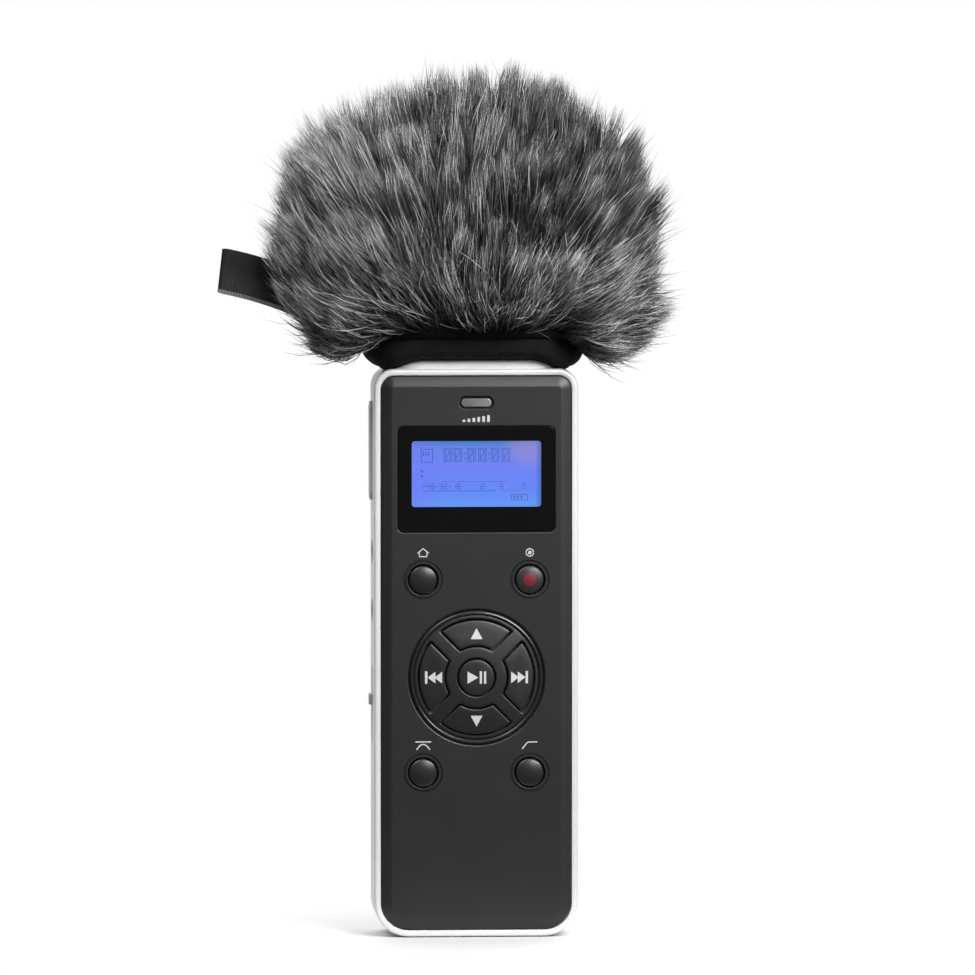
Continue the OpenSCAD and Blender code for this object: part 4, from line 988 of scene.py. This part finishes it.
def strands(count, locks, seed, lengths, width, steps, tones, gather, stray, lean, top=None):
    """Fur of one kind: strands that lean together in locks, drawn towards their lock's middle as
    they rise, so that each lock ends in a point. Their lengths are drawn between two and scaled by
    lock and by side, tones holds the darkest tone, the range from lock to lock and the range within
    one, and stray is the share that leaves its lock. With top, roots stay on the skin below that
    height. Returns the points by strand and by step, the half widths and the tone of each."""
    rng = np.random.default_rng(seed)
    skin = dome(*SKIN, RIM_Z + 0.5)
    if top:
        skin = skin[skin[:, 0, 2] < top]
    root, normal = spread_over(skin, count, rng)
    centre, centre_normal = spread_over(skin, locks, rng)
    # The fur's lower edge rises a little over the cuff, and the strands are longer front and back.
    bare, deeper = 1.7, 0.22
    clear = root[:, 2] > RIM_Z + bare * smooth(25 - np.abs(root[:, 0] - CUFF_X), 0, 6)
    root, normal = root[clear], normal[clear]
    count = len(root)
    nearest = np.concatenate([np.argmax(part @ centre.T - (centre ** 2).sum(1) / 2, axis=1)
                              for part in np.array_split(root, 12)])
    lock_drift = rng.normal(size=(locks, 3)) * 0.15 + waves(centre, 5) * 0.2
    lock_length = rng.uniform(0.66, 1.22, locks)
    lock_tone = rng.random(locks)
    lock_lean = rng.uniform(*lean, locks)
    reach = lock_length * sum(lengths) / 2 * (1 + deeper * centre_normal[:, 1] ** 2)
    guide = grow(centre, centre_normal, reach, lock_lean, lock_drift, steps)
    wild = rng.random(count) < stray
    drift = lock_drift[nearest] + rng.normal(size=(count, 3)) * np.where(wild, 0.26, 0.11)[:, None]
    length = rng.uniform(*lengths, count) * lock_length[nearest] * (1 + deeper * normal[:, 1] ** 2)
    line = grow(root, normal, length, lock_lean[nearest] + rng.normal(size=count) * 0.08, drift, steps)
    s = np.linspace(0, 1, steps)[None, :, None]
    pull = np.where(wild, 0, gather * rng.uniform(0.5, 1.1, count))[:, None, None]
    line += (guide[nearest] - line) * pull * s ** 1.6 * 0.85
    curl = unit(np.cross(line[:, -1] - root, rng.normal(size=(count, 3)))) * rng.normal(size=(count, 1)) * 0.9
    line += curl[:, None] * (s * (1 - s)) * 2
    tone = lock_tone[nearest] * tones[1] + rng.random(count) ** 2.5 * tones[2] + tones[0]
    # Painted light and shade: the tone is paler on the left and in the middle of the lower edge, which the
    # lamps leave in shade, and darker on the right, which they light more.
    x, z = root[:, 0], root[:, 2]
    tone += (0.48 * smooth(-x, 4, 28) - 0.2 * smooth(x, -6, 16)) * smooth(z, RIM_Z + 4, RIM_Z + 22)
    tone += 0.3 * smooth(RIM_Z + 17 - z, 0, 12) * smooth(32 - np.abs(x), 0, 12)
    return line, width * rng.uniform(0.7, 1.3, count), np.clip(tone, 0, 0.999)


def strand_mesh(name, line, half, tone):
    """One mesh of tapered strands: a ring of three points at each step and one point at the tip. The
    map puts the tone along its first axis, in columns, and root to tip along its second."""
    sides, columns = 3, 64
    count, steps = line.shape[:2]
    along = unit(np.gradient(line, axis=1))
    rng = np.random.default_rng(count)
    across = unit(np.cross(along, unit(rng.normal(size=(count, 1, 3)))))
    other = np.cross(along, across)
    s = np.linspace(0, 1, steps)
    taper = (0.8 + 0.4 * s) * (1 - s ** 3) + 0.02
    turn = np.arange(sides) * TURN / sides
    ring = across[:, :, None] * np.cos(turn)[:, None] + other[:, :, None] * np.sin(turn)[:, None]
    body = line[:, :-1, None] + ring[:, :-1] * (half[:, None] * taper[:-1])[:, :, None, None]
    rows = steps - 1
    per = rows * sides + 1
    points = np.concatenate([body.reshape(count, -1, 3), line[:, -1:]], axis=1).reshape(-1, 3)
    j = np.arange(sides)
    side = np.stack([j, (j + 1) % sides, (j + 1) % sides + sides, j + sides], -1)
    quads = (np.arange(rows - 1)[:, None, None] * sides + side).reshape(-1, 4)
    under_tip = (rows - 1) * sides
    tips = np.stack([under_tip + j, under_tip + (j + 1) % sides, np.full(sides, per - 1)], -1)
    foot = j[::-1]
    first = (np.arange(count) * per)[:, None]
    loops = (first + np.concatenate([foot, quads.ravel(), tips.ravel()])[None]).ravel()
    sizes = np.tile(np.concatenate([[sides], np.full(len(quads), 4), np.full(len(tips), 3)]), count)
    mesh = bpy.data.meshes.new(name)
    mesh.vertices.add(len(points))
    mesh.vertices.foreach_set("co", (points * MM).ravel())
    mesh.loops.add(len(loops))
    mesh.loops.foreach_set("vertex_index", loops.astype(np.int32))
    mesh.polygons.add(len(sizes))
    mesh.polygons.foreach_set("loop_start", (np.cumsum(sizes) - sizes).astype(np.int32))
    mesh.update(calc_edges=True)
    quad_u = np.tile((np.stack([j, j + 1, j + 1, j], -1) / sides).ravel(), rows - 1)
    quad_v = (np.repeat(np.arange(rows - 1), sides)[:, None] + np.array([0, 0, 1, 1])).ravel() / rows
    tip_u = (np.stack([j, j + 1, j + 0.5], -1) / sides).ravel()
    tip_v = np.tile(np.array([rows - 1, rows - 1, rows]) / rows, sides)
    foot_u, foot_v = np.array([0.9, 0.5, 0.1]), np.array([0, 0.01, 0])
    column = (np.floor(tone * columns) / columns)[:, None]
    u = column + np.concatenate([foot_u, quad_u, tip_u])[None] * 0.9 / columns
    v = np.broadcast_to(np.concatenate([foot_v, quad_v, tip_v]) * 0.996 + 0.002, u.shape)
    layer = mesh.uv_layers.new(name="OFBake")
    layer.uv.foreach_set("vector", np.stack([u, v], -1).ravel().astype(np.float32))
    mesh.validate()
    return mesh


def fur():
    """The windshield's fur, in pieces by side: a dense undercoat, longer guard hairs over it, and a
    loose fringe round the rim."""
    pile = fur_pile()
    share, wide = ((1.0, 1.0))
    under = strands(int(28000 * share), 900, 11, lengths=(9.0, 13.0), width=0.11 * wide, steps=4,
                    tones=(0.0, 0.15, 0.35), gather=0.4, stray=0.02, lean=(0.45, 0.85))
    guard = strands(int(41000 * share), 620, 23, lengths=(14.0, 19.5), width=0.1 * wide, steps=5,
                    tones=(-0.04, 0.15, 1.15), gather=0.8, stray=0.1, lean=(0.22, 0.62))
    fringe = strands(int(6500 * share), 170, 37, lengths=(11.0, 17.0), width=0.1 * wide, steps=5,
                     tones=(0.1, 0.2, 0.9), gather=0.5, stray=0.45, lean=(0.45, 0.95), top=RIM_Z + 14)
    for name, (line, half, tone), parts in (("under", under, 4), ("guard", guard, 8), ("fringe", fringe, 2)):
        order = np.argsort(np.arctan2(line[:, 0, 1] - HEAD_Y, line[:, 0, 0]))
        for i, part in enumerate(np.array_split(order, parts)):
            title = f"fur_{name}_{i + 1}"
            mesh = strand_mesh(title, line[part], half[part], tone[part])
            piece(title, mesh, "windshield", pile, ["windshield_fur"], sharp=180, weigh=False)


def backing():
    """The fur's backing, a closed wall with a plain dark finish, and the knit lining inside it."""
    base = moulded("fur_backing", grey(0.008), grey(0.003), 0.9, grain=2.0, depth=0.2, Specular_IOR_Level=0.2)
    cloth = knitted("lining_mesh", grey(0.05), grey(0.015), 0.9)
    for name, slot, node, paint, size, wall in (
            ("windshield_backing", "grey_fur", "windshield_fur", base, SKIN, 1.2),
            ("windshield_lining_cloth", "lining_cloth", "windshield_lining", cloth,
             (30.9, 20.5, 23.0, 10.3, SKIN_TOP - 1.6), 1.8)):
        outer = dome(*size, RIM_Z)
        inner = dome(*(v - wall for v in size), RIM_Z + 0.3)
        form = Form().stack(np.concatenate([inner[::-1], outer]))
        piece(name, form, "windshield", paint, [node], weigh=False)


def cuff():
    """The elastic cuff: a knit band round the microphones' base. Its hem is a round edge that dips
    towards both ends, and its wall swells out as a quarter ellipse and runs up into the fur."""

    def level(k, wall=0.0, lift=0.0):
        """One ring of the band, k from the hem at 0 to the top at 1, wall inside its outer face."""
        swell = 1.45 + 3.3 * math.sqrt(1 - (1 - min(k / 0.42, 1)) ** 2) + 0.6 * k - wall
        w, d = BASE_W + 2 * swell, BASE_D + 2 * swell
        x, y = outline(w, d, d / 2, x=CUFF_X * k, z=HEAD_Y, n=40).T
        hem = HEM_Z - 1.6 * np.exp(-((np.abs(x) - 19.5) / 4.0) ** 2) - 1.2 * (x / 20) ** 2
        pucker = 0.09 * np.sin(x * 1.9 + y) * k + 0.06 * np.sin(x * 3.1 - y * 2)
        return np.stack([x, y + np.sign(y - HEAD_Y) * pucker, hem + (RIM_Z + 2.2 - hem) * k + lift], 1)

    rise = np.linspace(0, 1, 20) ** 1.25
    outer = [level(k, 0.14 * math.exp(-((k - 0.36) / 0.04) ** 2)) for k in rise]
    inner = [level(k, 1.2) for k in rise]
    hem = [level(0, 0.2, -0.28), level(0, 0.6, -0.4), level(0, 1.0, -0.28)]
    form = Form().stack(np.array(outer[::-1] + hem + inner), closed=True)
    piece("windshield_cuff_knit", form, "windshield", KNIT, ["windshield_cuff"], weigh=False)


def label():
    """The woven label: a strip folded back on itself. Its line is a run out, a half turn and a run
    back. It is carried across the width, bowed along its length, and tilted up to its free end."""
    reach, hidden, wide, thick, fold = 15.4, 4.0, 10.2, 0.3, 0.45
    run = np.linspace(hidden, fold - reach, 26, endpoint=False)
    half_turn = np.linspace(TURN / 4, 3 * TURN / 4, 13)
    bend = np.stack([fold - reach + fold * np.cos(half_turn), fold * np.sin(half_turn)], 1)
    close = fold * (0.45 + 0.55 * smooth(-run, 0, reach))
    line = np.concatenate([np.stack([run, close], 1), bend, np.stack([run, -close], 1)[::-1]])
    along = unit(np.gradient(line, axis=0))
    side = np.stack([-along[:, 1], along[:, 0]], 1) * thick / 2
    across = np.linspace(-wide / 2, wide / 2, 25)
    n, w = len(line), len(across)
    cos, sin = math.cos(LABEL_TILT), math.sin(LABEL_TILT)
    layers = []
    for offset in (-1, 1):
        x, y = (line + side * offset).T[:, :, None] + across * 0
        z = across * (1 - 0.035 * np.exp(-((x + reach) / 0.45) ** 2)) - 0.006 * (x + reach) ** 2
        x = x - across * 0.075
        y = y + 0.5 * np.sin((x + reach) * 0.16) + 0.1 * np.cos(across * 0.5)
        tilted = np.stack([LABEL_X + x * cos + z * sin, HEAD_Y + y, LABEL_Z - x * sin + z * cos], -1)
        layers.append(tilted.reshape(-1, 3))
    cell = (np.arange(n - 1)[:, None] * w + np.arange(w - 1)).reshape(-1, 1) + [0, 1, w + 1, w]
    rail, end = np.arange(n - 1) * w, np.arange(w - 1)
    other = n * w
    strips = [np.stack([r, r + w, other + r + w, other + r], 1) for r in (rail, rail + w - 1)]
    strips += [np.stack([e, e + 1, other + e + 1, other + e], 1) for e in (end, end + other - w)]
    form = Form().put(np.concatenate(layers), np.concatenate([cell, other + cell[:, ::-1]] + strips))
    mesh = form.mesh("windshield_label_loop")
    run_length = np.concatenate([[0], np.cumsum(np.linalg.norm(np.diff(line, axis=0), axis=1))])
    u, v = np.meshgrid(run_length / run_length[-1], across / wide + 0.5, indexing="ij")
    flat = np.stack([u.ravel(), v.ravel()], 1)
    flat = np.concatenate([flat, flat * 0.98 + 0.01])
    corner = np.empty(len(mesh.loops), np.int32)
    mesh.loops.foreach_get("vertex_index", corner)
    layer = mesh.uv_layers.new(name="OFBake")
    layer.uv.foreach_set("vector", flat[corner].ravel().astype(np.float32))
    made = piece("windshield_label_loop", mesh, "windshield", woven_label(),
                 ["windshield_label"], weigh=False)


# ---- the parts that stay as they are ----


def dress():
    """Gives each CAD node that still shows its own finish."""
    grille = grille_mesh()
    paints = {
        "battery_tray": BLACK_PLASTIC, "battery_cells": cell_jacket(), "battery_springs": STEEL,
        "battery_contacts": STEEL, "main_board": circuit_green(), "board_chips": BLACK_PLASTIC,
        "lcd_backlight": WHITE_PLASTIC, "peak_led": WHITE_PLASTIC, "keypad_membrane": SILICONE,
        "key_switches": STEEL, "rocker_pin": STEEL, "rocker_switches": DARK_METAL,
        "headphone_jack": BLACK_PLASTIC, "line_jack": BLACK_PLASTIC, "slide_switch": STEEL,
        "card_socket": STEEL, "memory_card": BLACK_PLASTIC, "usb_port": STEEL, "tripod_bush": BRASS,
        "case_screws": DARK_METAL, "speaker": DARK_METAL, "mic_base": mic_socket(),
        "left_mic_tube": DARK_METAL, "right_mic_tube": DARK_METAL, "left_mic_grille": grille,
        "right_mic_grille": grille, "left_mic_element": BRASS, "right_mic_element": BRASS,
    }
    for node, paint in paints.items():
        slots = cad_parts[node].data.materials
        slots.clear()
        slots.append(paint)


# ---- studio ----


def stand(name, data, place, aim):
    """Puts a lamp or a camera at a place, looking at a point."""
    holder = bpy.data.objects.new(name, data)
    bpy.context.scene.collection.objects.link(holder)
    holder.location = place
    holder.rotation_euler = (Vector(aim) - Vector(place)).to_track_quat("-Z", "Y").to_euler()
    return holder


def studio():
    """A plain pale floor that fades out round the object, a white surround that lights from above and
    behind, four soft lamps, and the camera."""
    disc = facing(circle(1 / MM, n=64), -0.2, "z") * MM
    floor = bpy.data.meshes.new("studio_floor")
    floor.from_pydata(disc.tolist(), [], [tuple(range(64))])
    ground = bpy.data.objects.new("studio_floor", floor)
    bpy.context.scene.collection.objects.link(ground)
    paint = Paint("pale_floor", Roughness=0.85, Base_Color=grey(0.6))
    x, y, _ = paint.place.parts()
    solid, gone = 24.0, 64.0
    paint.feed("Alpha", 1 - (x * x + y * y).math("SQRT").step(solid, gone))
    ground.data.materials.append(paint.material)
    world = bpy.data.worlds.new("surround")
    bpy.context.scene.world = world
    world.use_nodes = True
    wire = Wire(world.node_tree)
    seen = wire.node("LightPath")
    x, y, z = wire.node("TexCoord").parts()
    glow = z.step(0.15, 0.9) * 1.1 + x.step(0.0, 1.0) * 0.1 + y.step(0.1, 0.8) * 0.6 + 0.08
    sky = seen.blend(glow, grey(1.0))
    world.node_tree.links.new(sky.socket, world.node_tree.nodes["Background"].inputs["Color"])
    for name, place, size, power in (("over", (0.25, -0.42, 0.34), (0.36, 0.16), 4.0),
                                     ("key", (0.5, -1.3, 0.95), (0.5, 0.5), 2.5),
                                     ("fill", (-0.45, -0.5, 0.8), (0.4, 0.4), 2.8),
                                     ("back", (0.25, 0.9, 0.7), (0.9, 0.9), 6.0)):
        lamp = bpy.data.lights.new(name, "AREA")
        lamp.energy, lamp.shape, lamp.size, lamp.size_y = power, "RECTANGLE", *size
        stand(name, lamp, place, (0, 0, 0.1)).visible_camera = False
    azimuth, elevation, distance, view_width = math.radians(-3.3), math.radians(3.5), 2.2, 0.219
    target = np.array([2.52, FRONT_Y, 101.3]) * MM
    back_off = np.array([math.sin(azimuth) * math.cos(elevation), -math.cos(azimuth) * math.cos(elevation),
                         math.sin(elevation)])
    lens = bpy.data.cameras.new("camera")
    lens.sensor_width = 36
    lens.lens = lens.sensor_width * distance / view_width
    lens.clip_end = 50
    bpy.context.scene.camera = stand("camera", lens, target + back_off * distance, target)
    bpy.context.scene.view_settings.view_transform = "Standard"


studio()
front_frame()
front_panel()
display()
peak_light()
round_buttons()
pad()
signs()
rear_shell()
battery_cover()
side_controls()
cuff()
label()
backing()
fur()
dress()
